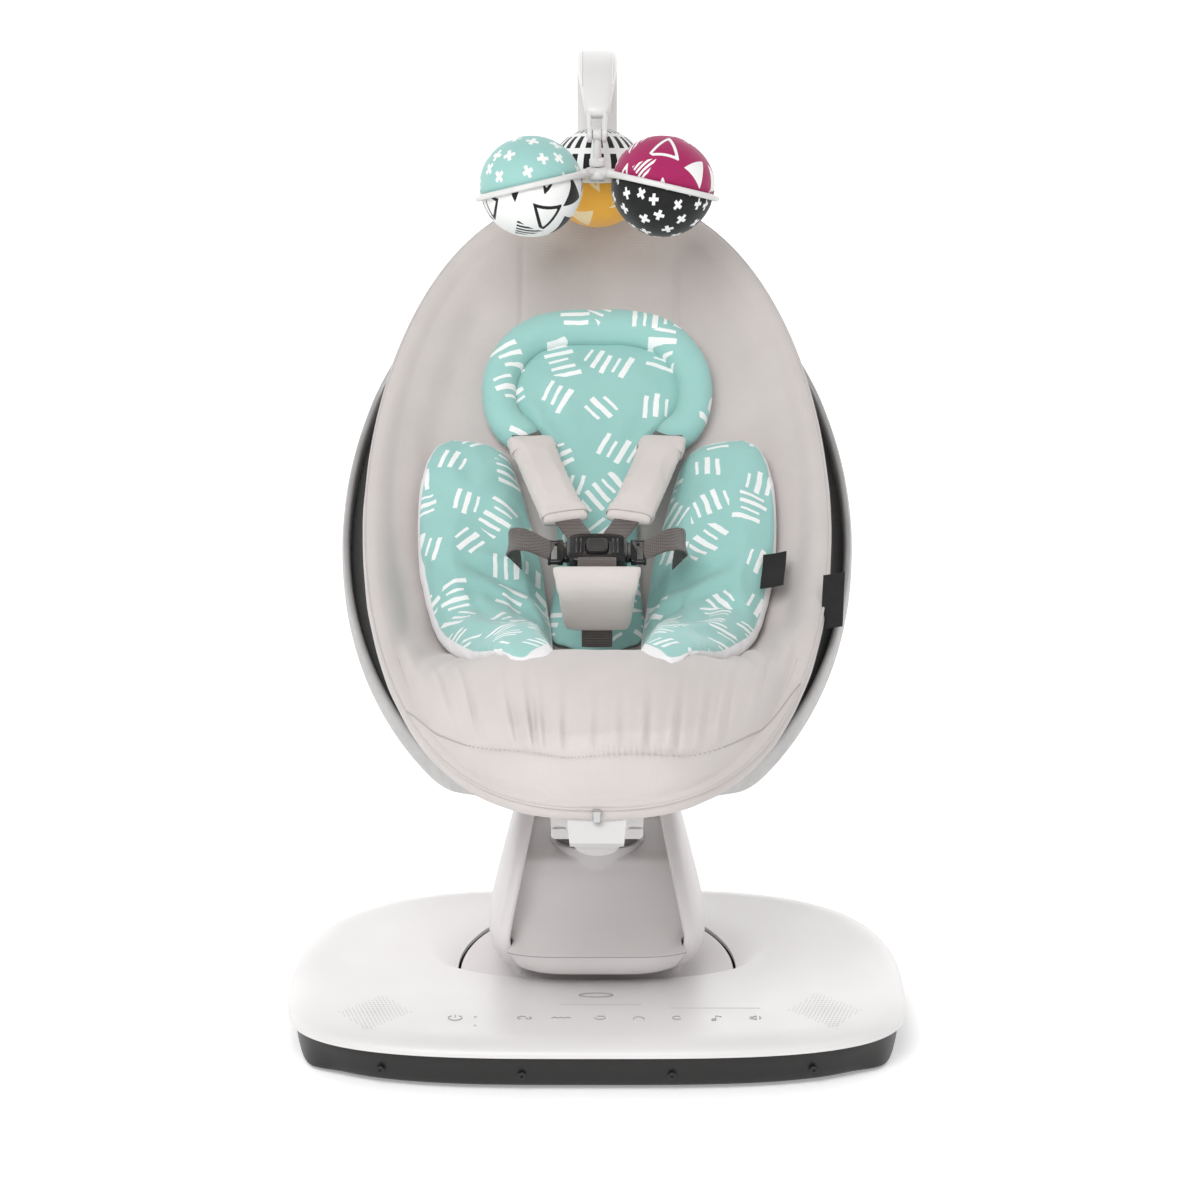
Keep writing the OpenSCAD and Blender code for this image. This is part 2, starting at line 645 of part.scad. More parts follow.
// depth of the sling below the rim's plane
function sling_d(x, c) =
  let (u = min(1, abs(x) / rim_half(c)), r = sag(c, rim_sag))
  r + (curve(sling_line, c) - r) * (1 - pow(u, 3));

module sling() {
  rows = [for (i = [2:26]) egg_c(i * 180 / 28)];
  top = [for (c = rows) [for (j = [-10:10]) let (x = j / 10 * (rim_half(c) - rim_in - rim_r - 1)) seat_pt(x, c, sling_d(x, c))]];
  low = [for (c = rows) [for (j = [-10:10]) let (x = j / 10 * (rim_half(c) - rim_in - rim_r - 1)) seat_pt(x, c, sling_d(x, c) + sling_t)]];
  color("#cfc8c5") between(top, low);
}

function mesh_pt(s, a, f) =
  let (p = rim_path(a), q = hoop_path(a), r = p + (q - p) * (0.24 + 0.48 * f)) [s * r[0], r[1], r[2]];
module side_mesh() {
  skin = [0.8, 0, 0];
  angles = [for (i = [0:20]) 40 + i * 4.5];
  color("#262524") {
    between([for (a = angles) [for (f = [0:3]) mesh_pt(1, a, f / 3) + skin]],
            [for (a = angles) [for (f = [0:3]) mesh_pt(1, a, f / 3) - skin]]);
    between([for (a = angles) [for (f = [3:-1:0]) mesh_pt(-1, a, f / 3) - skin]],
            [for (a = angles) [for (f = [3:-1:0]) mesh_pt(-1, a, f / 3) + skin]]);
  }
}

// a crowned pad that lies on the sling inside an outline of [x, distance from the foot end]
// with a toe, the part near the foot end is thinner
module pad(outline, centre, t, toe = 1, lift = 2.5) {
  p = loop_curve(outline, 3);
  n = len(p);
  top = [for (f = [1, 0.9, 0.65, 0.3])
    [for (q = p) let (v = centre + (q - centre) * f, thin = toe + (1 - toe) * ease(v[1], 120, 230),
                        h = lift + 2 + (t * thin - 2) * sqrt(1 - pow(f, 4)))
      seat_pt(v[0], v[1], sling_d(v[0], v[1]) - h)]];
  low = [for (f = [0.3, 0.65, 0.9, 1])
    [for (q = p) let (v = centre + (q - centre) * f) seat_pt(v[0], v[1], sling_d(v[0], v[1]) - lift)]];
  stacked(concat(low, top));
}

pillow_half = [[0, 578], [58, 574], [88, 545], [93, 506], [80, 468], [48, 450]];
side_half = [[140, 400], [143, 337], [133, 280], [115, 222], [92, 168], [64, 128], [44, 122], [32, 140], [29, 190],
             [31, 240], [38, 290], [44, 345], [53, 389], [70, 441], [102, 453], [129, 445]];

module insert_pillow() {
  outline = concat(pillow_half, [[0, 446]], [for (i = [5:-1:1]) [-pillow_half[i][0], pillow_half[i][1]]]);
  color("#96d5c4") pad(outline, [0, 512], 30);
}
module insert_spine() {
  half = [[44, 443], [34, 415], [27, 385], [26, 340], [28, 300], [24, 262]];
  color("#96d5c4") pad(concat(half, [for (i = [5:-1:0]) [-half[i][0], half[i][1]]]), [0, 352], 14);
}
module insert_side_left() color("#96d5c4") pad(mirrored(side_half), [-88, 330], 32, 0.45);
module insert_side_right() color("#96d5c4") pad(side_half, [88, 330], 32, 0.45);

/* ---------- harness ---------- */

module shoulder_pad(s) {
  color("#d5cfcc") ribbon([[s * 24, 42, 390], [s * 34, 78, 402], [s * 45, 118, 417], [s * 54, 150, 431]], 38, 10);
}
module shoulder_pad_left() shoulder_pad(-1);
module shoulder_pad_right() shoulder_pad(1);

module crotch_pad() {
  color("#d5cfcc") ribbon([[0, -24, 366], [0, -27, 352], [0, -18, 333], [0, -6, 318]], 64, 12);
}

module harness_webbing() {
  color("#83736e") {
    ribbon([[0, -2, 315], [0, 4, 306], [0, 10, 299]], 24, 2);
    for (s = [-1, 1]) {
      ribbon([[s * 54, 149, 430.5], [s * 57, 160, 435], [s * 59, 170, 437]], 24, 2);
      ribbon([[s * 24, 44, 390.7], [s * 19, 34, 387.5], [s * 14.5, 19.5, 384.5]], 18, 2);
      ribbon([[s * 61, 8, 380.3], [s * 67, 9, 378], [s * 71, 12, 371], [s * 72, 18, 357]], 24, 2, buckle_up);
    }
  }
}

module buckle_frame() translate(buckle_at) rotate([buckle_tilt, 0, 0]) children();

module buckle_plate(w, l) linear_extrude(13, center = true) polygon([for (i = [0:31]) super_pt(w, l, l, 4.5, i * 11.25)]);

module buckle_housing() {
  color("#2a2827") buckle_frame() difference() {
    buckle_plate(24, 18);
    for (s = [-1, 1]) translate([s * 21, 0, 0]) cube([26, 22.8, 5.8], center = true);
    translate([0, 0, 5.5]) cube([17.8, 17.8, 8], center = true);
  }
}

module buckle_button() {
  color("#353332") buckle_frame() translate([0, 0, 5.6]) linear_extrude(2.9) polygon(
    [for (i = [0:31]) super_pt(8.5, 8.5, 8.5, 5, i * 11.25)]);
}

module buckle_tongue(s) {
  color("#2a2827") buckle_frame() difference() {
    union() {
      translate([s * 18.5, 0, 0]) cube([17, 22, 5], center = true);
      translate([s * 32, 0, 0]) cube([13, 28, 5], center = true);
    }
    translate([s * 33.5, 0, 0]) cube([4, 21, 8], center = true);
  }
}
module buckle_tongue_left() buckle_tongue(-1);
module buckle_tongue_right() buckle_tongue(1);

/* ---------- mobile ---------- */

stem_y = arm_y + arm_r;
module mobile_socket() {
  color("#d9d6d5") difference() {
    union() {
      translate([-20, stem_y - 13, 572]) cube([40, 24, 44]);
      translate([-16, 344, 574]) cube([32, 16, 18]);
    }
    translate([-arm_w / 2 + 3.6, stem_y - arm_t / 2 - 0.4, 578]) cube([arm_w - 7.2, arm_t + 0.8, 60]);
  }
}

module mobile_arm() {
  color("#f2f0ef") {
    translate([-arm_w / 2 + 4, stem_y - arm_t / 2, 579]) cube([arm_w - 8, arm_t, 40]);
    translate([-arm_w / 2 - 1, stem_y - arm_t / 2 - 1, 617]) cube([arm_w + 2, arm_t + 2, arm_z - 615]);
    translate([0, arm_y, arm_z]) rotate([0, -90, 0]) rotate(-nose_angle)
      rotate_extrude(angle = 90 + nose_angle, $fn = 96)
        translate([arm_r - arm_t / 2, -arm_w / 2]) square([arm_t, arm_w]);
    nose_place() difference() {
      union() {
        translate([-8, 0, -6]) cube([16, 20, 12]);
        rotate([0, 90, 0]) cylinder(r = 6.6, h = 16, center = true);
      }
      translate([-4, -8, -8]) cube([8, 18, 16]);
    }
    nose_place() rotate([0, 90, 0]) cylinder(r = 1.95, h = 12, center = true);
  }
}

// the fork at the arm's end: the link swings on its pin
module nose_place() translate([0, spider_y, link_top]) rotate([50, 0, 0]) children();

module mobile_link() {
  color("#f2f0ef") translate([0, spider_y, 0]) {
    difference() {
      union() {
        translate([-3.6, 0, link_top]) rotate([0, 90, 0]) cylinder(r = 5, h = 7.2);
        translate([0, 0, spider_z + 5]) cylinder(r = 3.6, h = link_top - spider_z - 6);
      }
      translate([0, 0, link_top]) rotate([0, 90, 0]) cylinder(r = 2, h = 20, center = true);
    }
    translate([0, 0, spider_z - 4]) cylinder(r = 2.5, h = 10);
    translate([0, 0, spider_z - 7]) cylinder(r = 6, h = 3);
  }
}

// a round bar from p to q
module rod(p, q, r) {
  v = q - p;
  translate(p) rotate([0, acos(v[2] / norm(v)), atan2(v[1], v[0])]) cylinder(r = r, h = norm(v));
}

function ball_at(a) = [ball_reach * sin(a), spider_y - ball_reach * cos(a),
                       spider_z - ball_drop - (a == 180 ? rear_ball_drop : 0)];
function side_lean(a) = a == 180 ? 0 : sign(a) * hoop_lean;
// the direction square to a hoop
function hoop_up(a) = let (p = hoop_pitch, l = side_lean(a)) [sin(l), cos(l) * sin(p), cos(l) * cos(p)];
// the point of a hoop nearest the spider's middle
function hoop_near(a) =
  let (v = [-sin(a), cos(a), 0], n = hoop_up(a), w = v - n * (n * v)) ball_at(a) + hoop_r * w / norm(w);
module mobile_spider() {
  color("#f5f3f2") {
    translate([0, spider_y, spider_z - 3.6]) difference() {
      cylinder(r = 11, h = 8);
      translate([0, 0, -1]) cylinder(r = 2.55, h = 12);
    }
    for (a = [-60, 60, 180]) {
      translate(ball_at(a)) rotate([-hoop_pitch, 0, 0]) rotate([0, side_lean(a), 0]) rotate_extrude($fn = 96)
        translate([hoop_r, 0]) circle(r = 2, $fn = 24);
      rod([9 * sin(a), spider_y - 9 * cos(a), spider_z], hoop_near(a), 2.2);
    }
  }
}

module toy(a) translate(ball_at(a)) sphere(r = ball_r);
module toy_left() color("#8fd6c1") toy(-60);
module toy_right() color("#a02863") toy(60);
module toy_rear() color("#e9a23b") toy(180);

/* ---------- drawing ---------- */

base_pan();
base_cover();
rubber_feet();
base_screws();
control_board();
main_board();
speaker_left();
speaker_right();
sway_motor();
bearing_plate();
slew_bush();
power_inlet();
audio_jack();
sway_pinion();
turntable_disc();
sway_gear();
pedestal();
tower_rear_shell();
tower_front_panel();
tower_screws();
collar_ring();
guide_rods();
lift_motor();
lift_springs();
lift_pinion();
post_tube();
post_rack();
lift_carriage();
hub_lower();
hub_cap();
recline_lever();
rail();
rim_tube();
side_hoop();
foot_joiner();
head_joiner();
sling();
side_mesh();
insert_pillow();
insert_spine();
insert_side_left();
insert_side_right();
shoulder_pad_left();
shoulder_pad_right();
crotch_pad();
harness_webbing();
buckle_housing();
buckle_button();
buckle_tongue_left();
buckle_tongue_right();
mobile_socket();
mobile_arm();
mobile_link();
mobile_spider();
toy_left();
toy_right();
toy_rear();
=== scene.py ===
"""Looks of a powered baby swing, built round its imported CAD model.

Shapes are worked out in millimetres in the model's own frame and become metres when a mesh is made.
The seat's soft parts are laid out in seat coordinates: x to the right, c along the rim's chord from
its foot end to its head end, and d below the plane of the rim's two ends.
"""
import json
import math

import bmesh
import bpy
import numpy as np
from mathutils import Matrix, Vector


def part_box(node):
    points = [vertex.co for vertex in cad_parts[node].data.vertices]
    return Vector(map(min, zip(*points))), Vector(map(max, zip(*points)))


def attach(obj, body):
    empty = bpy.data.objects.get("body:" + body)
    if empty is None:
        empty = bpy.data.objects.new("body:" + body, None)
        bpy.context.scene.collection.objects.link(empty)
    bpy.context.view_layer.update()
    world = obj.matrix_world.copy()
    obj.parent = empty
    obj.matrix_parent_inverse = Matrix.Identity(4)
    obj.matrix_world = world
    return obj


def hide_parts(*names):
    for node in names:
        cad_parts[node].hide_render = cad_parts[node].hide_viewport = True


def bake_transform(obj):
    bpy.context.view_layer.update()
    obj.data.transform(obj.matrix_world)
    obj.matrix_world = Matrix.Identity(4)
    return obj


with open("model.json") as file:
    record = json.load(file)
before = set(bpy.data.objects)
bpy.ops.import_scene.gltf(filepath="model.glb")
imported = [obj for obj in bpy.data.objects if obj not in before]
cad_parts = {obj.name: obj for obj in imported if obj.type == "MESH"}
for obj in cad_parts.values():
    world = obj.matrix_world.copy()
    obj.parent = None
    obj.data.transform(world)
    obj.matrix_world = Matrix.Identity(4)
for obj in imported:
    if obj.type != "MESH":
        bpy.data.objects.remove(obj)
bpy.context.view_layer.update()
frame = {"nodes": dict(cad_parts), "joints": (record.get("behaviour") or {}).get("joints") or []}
MM = 0.001
JOINTS = {j["name"]: j for j in frame["joints"]}


# ---------------------------------------------------------------- numbers and curves

def box_mm(node):
    """Lowest and highest corner of a CAD node in millimetres."""
    low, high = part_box(node)
    return np.array(low) / MM, np.array(high) / MM


def power(v, p):
    """A power that keeps the sign of v."""
    return np.sign(v) * np.abs(v) ** p


def bell(v, width):
    """1 at v = 0, falling smoothly to 0 over about two widths."""
    return np.exp(-(np.asarray(v, float) / width) ** 2)


def step(v, low, high):
    """0 below low, 1 above high, smooth between."""
    u = np.clip((np.asarray(v, float) - low) / (high - low), 0, 1)
    return u * u * (3 - 2 * u)


def hermite(points, x):
    """Smooth curve through points of rising x, as in the CAD model."""
    px, py = np.array(points, float).T
    slope = np.empty_like(py)
    slope[1:-1] = (py[2:] - py[:-2]) / (px[2:] - px[:-2])
    slope[0] = (py[1] - py[0]) / (px[1] - px[0])
    slope[-1] = (py[-1] - py[-2]) / (px[-1] - px[-2])
    x = np.asarray(x, float)
    i = np.clip(np.searchsorted(px, x) - 1, 0, len(px) - 2)
    h = px[i + 1] - px[i]
    u = (x - px[i]) / h
    return ((2 * u**3 - 3 * u**2 + 1) * py[i] + (u**3 - 2 * u**2 + u) * slope[i] * h
            + (3 * u**2 - 2 * u**3) * py[i + 1] + (u**3 - u**2) * slope[i + 1] * h)


def spline(points, per_span=8, closed=False):
    """Points on a smooth curve through the given ones."""
    p = np.array(points, float)
    n = len(p)
    spans = n if closed else n - 1
    out = []
    for i in range(spans):
        if closed:
            a, b, c, d = p[(i - 1) % n], p[i], p[(i + 1) % n], p[(i + 2) % n]
        else:
            b, c = p[i], p[i + 1]
            a = p[i - 1] if i > 0 else 2 * b - c
            d = p[i + 2] if i + 2 < n else 2 * c - b
        for s in range(per_span):
            u = s / per_span
            out.append(0.5 * (2 * b + (c - a) * u + (2 * a - 5 * b + 4 * c - d) * u**2
                              + (3 * b - a - 3 * c + d) * u**3))
    if not closed:
        out.append(p[-1])
    return np.array(out)


def lumps(x, y, seed=0.0, scale=60.0):
    """Gentle unevenness between -1 and 1, the same on each run."""
    a, b = np.asarray(x) / scale, np.asarray(y) / scale
    return (np.sin(2.1 * a + 1.3 * b + seed) + np.sin(-1.2 * a + 2.7 * b + 2 * seed + 1)
            + np.sin(3.4 * a - 0.7 * b + 3 * seed + 2)) / 3


# ---------------------------------------------------------------- meshes

def grid_faces(rows, cols, wrap_rows=False, wrap_cols=False):
    """Four-sided faces over a grid of points, closed round in either direction."""
    faces = []
    for i in range(rows if wrap_rows else rows - 1):
        for j in range(cols if wrap_cols else cols - 1):
            i2, j2 = (i + 1) % rows, (j + 1) % cols
            faces.append((i * cols + j, i * cols + j2, i2 * cols + j2, i2 * cols + j))
    return faces


def finish_mesh(obj, sharp=50):
    """Outward normals, smooth shading, and sharp edges above an angle."""
    work = bmesh.new()
    work.from_mesh(obj.data)
    bmesh.ops.recalc_face_normals(work, faces=work.faces)
    work.to_mesh(obj.data)
    work.free()
    obj.data.polygons.foreach_set("use_smooth", [True] * len(obj.data.polygons))
    obj.data.set_sharp_from_angle(angle=math.radians(sharp))


def make(name, points, faces, material, body, replaces=(), slot=None, sharp=50):
    """A piece from points in millimetres, riding on a CAD body."""
    mesh = bpy.data.meshes.new(name)
    mesh.from_pydata((np.asarray(points, float).reshape(-1, 3) * MM).tolist(), [], faces)
    obj = bpy.data.objects.new(name, mesh)
    bpy.context.scene.collection.objects.link(obj)
    finish_mesh(obj, sharp)
    mesh.materials.append(material)
    if body:
        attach(obj, body)
    if replaces:
        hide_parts(*replaces)
    return obj


def merge(parts):
    """Several (points, faces) as one."""
    points, faces, base = [], [], 0
    for p, f in parts:
        p = np.asarray(p, float).reshape(-1, 3)
        points.append(p)
        faces += [tuple(base + i for i in face) for face in f]
        base += len(p)
    return np.vstack(points), faces


def loft(rings, closed=False, caps=True):
    """A tube through rings of points, capped at both ends or closed into a loop."""
    rings = np.asarray(rings, float)
    m, n = rings.shape[:2]
    faces = grid_faces(m, n, wrap_rows=closed, wrap_cols=True)
    if caps and not closed:
        faces.append(tuple(range(n - 1, -1, -1)))
        faces.append(tuple((m - 1) * n + j for j in range(n)))
    return rings.reshape(-1, 3), faces


def slab(top, bottom):
    """A closed solid between two grids of points of one shape."""
    top, bottom = np.asarray(top, float), np.asarray(bottom, float)
    m, n = top.shape[:2]
    low = m * n
    up = grid_faces(m, n)
    down = [tuple(low + i for i in reversed(f)) for f in up]
    edge = ([i * n for i in range(m)] + [(m - 1) * n + j for j in range(1, n)]
            + [i * n + n - 1 for i in range(m - 2, -1, -1)] + list(range(n - 2, 0, -1)))
    side = [(edge[k], low + edge[k], low + edge[(k + 1) % len(edge)], edge[(k + 1) % len(edge)])
            for k in range(len(edge))]
    return np.vstack([top.reshape(-1, 3), bottom.reshape(-1, 3)]), up + down + side


def unit(v):
    """The vector, or each vector, at length one."""
    v = np.asarray(v, float)
    return v / np.maximum(np.linalg.norm(v, axis=-1, keepdims=True), 1e-9)


def oval(rx, ry, count=16, squareness=2.0):
    """Outline of a superellipse as (across, out) pairs."""
    t = np.arange(count) * 2 * math.pi / count
    return np.stack([rx * power(np.cos(t), 2 / squareness), ry * power(np.sin(t), 2 / squareness)], 1)


def sweep(path, profile, wide, closed=False, scale=None):
    """Rings of a profile carried along a path; wide is the direction of the profile's first axis."""
    path = np.asarray(path, float)
    wide = np.broadcast_to(np.asarray(wide, float), path.shape)
    if closed:
        along = np.roll(path, -1, 0) - np.roll(path, 1, 0)
    else:
        along = np.gradient(path, axis=0)
    along = unit(along)
    out = unit(np.cross(along, wide))
    across = unit(np.cross(out, along))
    profile = np.asarray(profile, float)
    if profile.ndim == 2:
        profile = np.broadcast_to(profile, (len(path), *profile.shape))
    if scale is not None:
        profile = profile * np.asarray(scale, float).reshape(len(path), 1, -1)
    return (path[:, None] + profile[:, :, :1] * across[:, None] + profile[:, :, 1:] * out[:, None])


def rounded_ends(path, radius, steps=4):
    """The path with extra points at its ends, and each ring's scale, so that its ends are round."""
    path = np.asarray(path, float)
    head, tail = unit(path[0] - path[1]), unit(path[-1] - path[-2])
    angles = np.linspace(0, math.pi / 2, steps + 1)[1:]
    angles[-1] = math.radians(86)
    start = [path[0] + head * radius * (math.sin(a) - 1) for a in reversed(angles)]
    end = [path[-1] + tail * radius * (math.sin(a) - 1) for a in angles]
    start_scale = [math.cos(a) for a in reversed(angles)]
    end_scale = [math.cos(a) for a in angles]
    inner_a = path[0] - head * radius
    inner_b = path[-1] - tail * radius
    body = [p for p in path[1:-1] if min(np.linalg.norm(p - path[0]),
                                         np.linalg.norm(p - path[-1])) > 1.05 * radius]
    points = np.array([*start, inner_a, *body, inner_b, *end])
    scale = np.array([*start_scale, 1, *([1] * len(body)), 1, *end_scale])
    return points, scale


def wire(path, radius, closed=False, sides=8):
    """A thin round bar along a path."""
    path = np.asarray(path, float)
    along = np.roll(path, -1, 0) - np.roll(path, 1, 0) if closed else np.gradient(path, axis=0)
    side = np.array([0.0, 0.0, 1.0])
    if np.abs(unit(along) @ side).max() > 0.95:
        side = np.array([0.31, 0.9, 0.28])
    return loft(sweep(path, oval(radius, radius, sides), side, closed), closed)


def set_attribute(obj, name, values):
    """A number or a vector stored on each point, which the materials read."""
    values = np.asarray(values, float)
    kind = "FLOAT" if values.ndim == 1 else "FLOAT_VECTOR"
    attribute = obj.data.attributes.new(name, kind, "POINT")
    attribute.data.foreach_set("value" if values.ndim == 1 else "vector", values.astype(np.float32).ravel())


def points_mm(obj):
    """The mesh's points in millimetres."""
    co = np.empty(len(obj.data.vertices) * 3, np.float32)
    obj.data.vertices.foreach_get("co", co)
    return co.reshape(-1, 3).astype(float) / MM


def set_points_mm(obj, points):
    """Moves the mesh's points; they are given in millimetres."""
    obj.data.vertices.foreach_set("co", (np.asarray(points) * MM).astype(np.float32).ravel())
    obj.data.update()


def apply_modifiers(obj):
    """Puts the modified mesh in place of the plain one."""
    graph = bpy.context.evaluated_depsgraph_get()
    mesh = bpy.data.meshes.new_from_object(obj.evaluated_get(graph))
    old = obj.data
    obj.modifiers.clear()
    obj.data = mesh
    bpy.data.meshes.remove(old)


def bevel(obj, width, segments=3, angle=35):
    """Rounds the edges of a piece or a CAD node with modifiers, and leaves the mesh itself alone."""
    weld = obj.modifiers.new("weld", "WELD")
    weld.merge_threshold = 1e-6
    flat = obj.modifiers.new("flat", "DECIMATE")
    flat.decimate_type = "DISSOLVE"
    flat.angle_limit = math.radians(1)
    edge = obj.modifiers.new("edge", "BEVEL")
    edge.width = width * MM
    edge.segments = segments
    edge.limit_method = "ANGLE"
    edge.angle_limit = math.radians(angle)
    edge.harden_normals = False
    shade = obj.modifiers.new("shade", "WEIGHTED_NORMAL")
    shade.keep_sharp = True
    return obj


# ---------------------------------------------------------------- materials

class Shader:
    """A Principled material with a few short ways to add detail to it."""

    def __init__(self, name, color, roughness, **sockets):
        self.material = bpy.data.materials.new(name)
        self.material.use_nodes = True
        self.tree = self.material.node_tree
        self.bsdf = self.tree.nodes["Principled BSDF"]
        self.color = color
        self.bsdf.inputs["Base Color"].default_value = (*color, 1)
        self.bsdf.inputs["Roughness"].default_value = roughness
        for socket, value in sockets.items():
            self.bsdf.inputs[socket.replace("_", " ")].default_value = value
        self.height = None

    def node(self, kind, inputs=None, **settings):
        made = self.tree.nodes.new("ShaderNode" + kind)
        for key, value in settings.items():
            setattr(made, key, value)
        for key, value in (inputs or {}).items():
            self.feed(made.inputs[key], value)
        return made

    def feed(self, socket, value):
        if isinstance(value, bpy.types.NodeSocket):
            self.tree.links.new(value, socket)
        else:
            socket.default_value = value

    def math(self, operation, a, b=0.0, c=0.0):
        return self.node("Math", {0: a, 1: b, 2: c}, operation=operation).outputs[0]

    def place(self):
        return self.node("TexCoord").outputs["Object"]

    def attribute(self, name, output="Vector"):
        return self.node("Attribute", attribute_name=name).outputs[output]

    def noise(self, scale, detail=2.0, where=None, roughness=0.5):
        made = self.node("TexNoise", {"Scale": scale, "Detail": detail, "Roughness": roughness})
        self.feed(made.inputs["Vector"], where or self.place())
        return made.outputs[0]

    def span(self, value, low, high, to_low, to_high):
        """value from low..high to to_low..to_high, held at both ends."""
        return self.node("MapRange", {0: value, 1: low, 2: high, 3: to_low, 4: to_high}).outputs[0]

    def blend(self, share, a, b):
        """Color a where share is 0 and b where it is 1."""
        made = self.node("Mix", data_type="RGBA")
        self.feed(made.inputs[0], share)
        for socket, color in ((made.inputs[6], a), (made.inputs[7], b)):
            self.feed(socket, color if isinstance(color, bpy.types.NodeSocket) else (*color, 1))
        return made.outputs[2]

    def paint(self, color):
        self.tree.links.new(color, self.bsdf.inputs["Base Color"])
        return self

    def tint(self, scale=9.0, share=0.06):
        """Slight variation of the colour in large soft patches."""
        dark = tuple(c * (1 - share) for c in self.color)
        light = tuple(min(1, c * (1 + share / 2)) for c in self.color)
        patches = self.span(self.noise(scale, 3.0), 0.3, 0.7, 0.0, 1.0)
        return self.paint(self.blend(patches, dark, light))

    def rough(self, scale, low, high):
        self.tree.links.new(self.span(self.noise(scale, 3.0), 0.3, 0.7, low, high),
                            self.bsdf.inputs["Roughness"])
        return self

    def raise_by(self, height, strength, distance):
        """Adds a bump of that height in metres on top of what is there."""
        bump = self.node("Bump", {"Strength": strength, "Distance": distance, "Height": height})
        if self.height is not None:
            self.tree.links.new(self.height, bump.inputs["Normal"])
        self.height = bump.outputs[0]
        self.tree.links.new(self.height, self.bsdf.inputs["Normal"])
        return self

    def grain(self, scale, strength=0.3, distance=0.0002, detail=2.0):
        return self.raise_by(self.noise(scale, detail), strength, distance)

    def weave(self, pitch, strength=0.5, distance=0.00025, where=None):
        """Crossing threads pitch metres apart."""
        where = where or self.place()
        scale = 2 * math.pi / 20 / pitch
        threads = []
        for direction, phase in (("X", 0.0), ("Y", 1.5), ("Z", 0.7)):
            made = self.node("TexWave",
                             {"Scale": scale, "Distortion": 0.4, "Detail": 1.0, "Phase Offset": phase},
                             wave_type="BANDS", bands_direction=direction)
            self.feed(made.inputs["Vector"], where)
            threads.append(made.outputs["Fac"])
        crossed = self.math("MULTIPLY", self.math("ADD", threads[0], threads[2]), threads[1])
        return self.raise_by(crossed, strength, distance)


def plastic(name, color, roughness=0.38, grain=2600.0, **more):
    """Moulded plastic with a fine spark-eroded grain."""
    made = Shader(name, color, roughness, Specular_IOR_Level=0.45, **more)
    made.tint(7.0, 0.03).rough(24.0, roughness - 0.05, roughness + 0.06).grain(grain, 0.12, 0.00004)
    return made.material


def metal(name, color, roughness=0.35):
    """Plain metal with uneven polish."""
    made = Shader(name, color, roughness, Metallic=1.0)
    made.tint(40.0, 0.12).rough(60.0, roughness - 0.1, roughness + 0.12).grain(900.0, 0.15, 0.00005)
    return made.material


def cloth(name, color, pitch=0.0011, roughness=0.86, sheen=0.25, fuzz=0.35):
    """Woven cloth: fuzz, weave and a soft sheen."""
    made = Shader(name, color, roughness, Sheen_Weight=sheen, Sheen_Roughness=0.45, Specular_IOR_Level=0.25)
    made.tint(14.0, 0.05)
    made.grain(420.0, fuzz, 0.0003, 4.0).weave(pitch, 0.22, 0.0002)
    made.rough(150.0, roughness - 0.06, roughness + 0.06)
    return made


TEAL = (0.32, 0.575, 0.54)
SEAT = (0.58, 0.54, 0.525)
WHITE_PRINT = (0.86, 0.88, 0.87)

COVER = plastic("cover_plastic", (0.74, 0.725, 0.72), 0.36)
TOWER = plastic("tower_plastic", (0.74, 0.71, 0.705), 0.4)
HUB = plastic("hub_plastic", (0.80, 0.785, 0.78), 0.36)
CHARCOAL = plastic("charcoal_plastic", (0.012, 0.011, 0.0105), 0.42)
DARK = plastic("dark_plastic", (0.02, 0.019, 0.019), 0.5)
RUBBER = plastic("rubber", (0.018, 0.018, 0.018), 0.75, 1500.0)
LEVER = plastic("lever_plastic", (0.28, 0.27, 0.265), 0.45)
RAIL = plastic("rail_paint", (0.56, 0.55, 0.545), 0.4, 1800.0)
CREAM = plastic("gear_plastic", (0.72, 0.68, 0.55), 0.45)
BOARD = plastic("board_lacquer", (0.03, 0.16, 0.07), 0.35)
BOBBIN = metal("motor_metal", (0.35, 0.36, 0.38), 0.45)
STEEL = metal("steel", (0.55, 0.55, 0.55), 0.3)
BRASS = metal("brass", (0.66, 0.45, 0.16), 0.3)
MOBILE = plastic("mobile_plastic", (0.70, 0.69, 0.68), 0.33)
BUCKLE_LOOK = plastic("buckle_plastic", (0.010, 0.009, 0.009), 0.2, 1600.0)


def post_material():
    """Dull grey plastic with fine upright brushing."""
    made = Shader("post_plastic", (0.20, 0.19, 0.185), 0.5, Specular_IOR_Level=0.4)
    stretched = made.node("Mapping", {"Vector": made.place(), "Scale": (900, 900, 25)}).outputs[0]
    lines = made.noise(1.0, 3.0, stretched)
    made.tint(20.0, 0.15).raise_by(lines, 0.5, 0.00025)
    return made.material


def hoop_material():
    """Silver-grey paint with a fine hammered texture."""
    made = Shader("hoop_paint", (0.44, 0.43, 0.425), 0.42, Metallic=0.3)
    made.tint(30.0, 0.10).rough(200.0, 0.34, 0.5).grain(1400.0, 0.5, 0.0002, 3.0)
    return made.material


def mesh_material():
    """Black warp-knit mesh with rows of small holes."""
    made = Shader("mesh_knit", (0.018, 0.017, 0.016), 0.8, Sheen_Weight=0.15, Sheen_Roughness=0.5)
    where = made.node("Mapping", {"Vector": made.place(), "Scale": (1, 420, 420)}).outputs[0]
    holes = made.node("TexVoronoi", {"Vector": where, "Scale": 1.0, "Randomness": 0.12}).outputs["Distance"]
    made.paint(made.blend(made.span(holes, 0.15, 0.45, 0.0, 1.0), (0.006, 0.006, 0.006),
                          (0.03, 0.028, 0.027)))
    made.raise_by(holes, 0.6, 0.0006)
    return made.material


def seat_material(name="seat_cloth", color=SEAT):
    """The seat's plain-woven cloth in one of its shades."""
    made = cloth(name, color, 0.0012, 0.84, 0.22, 0.4)
    return made.material


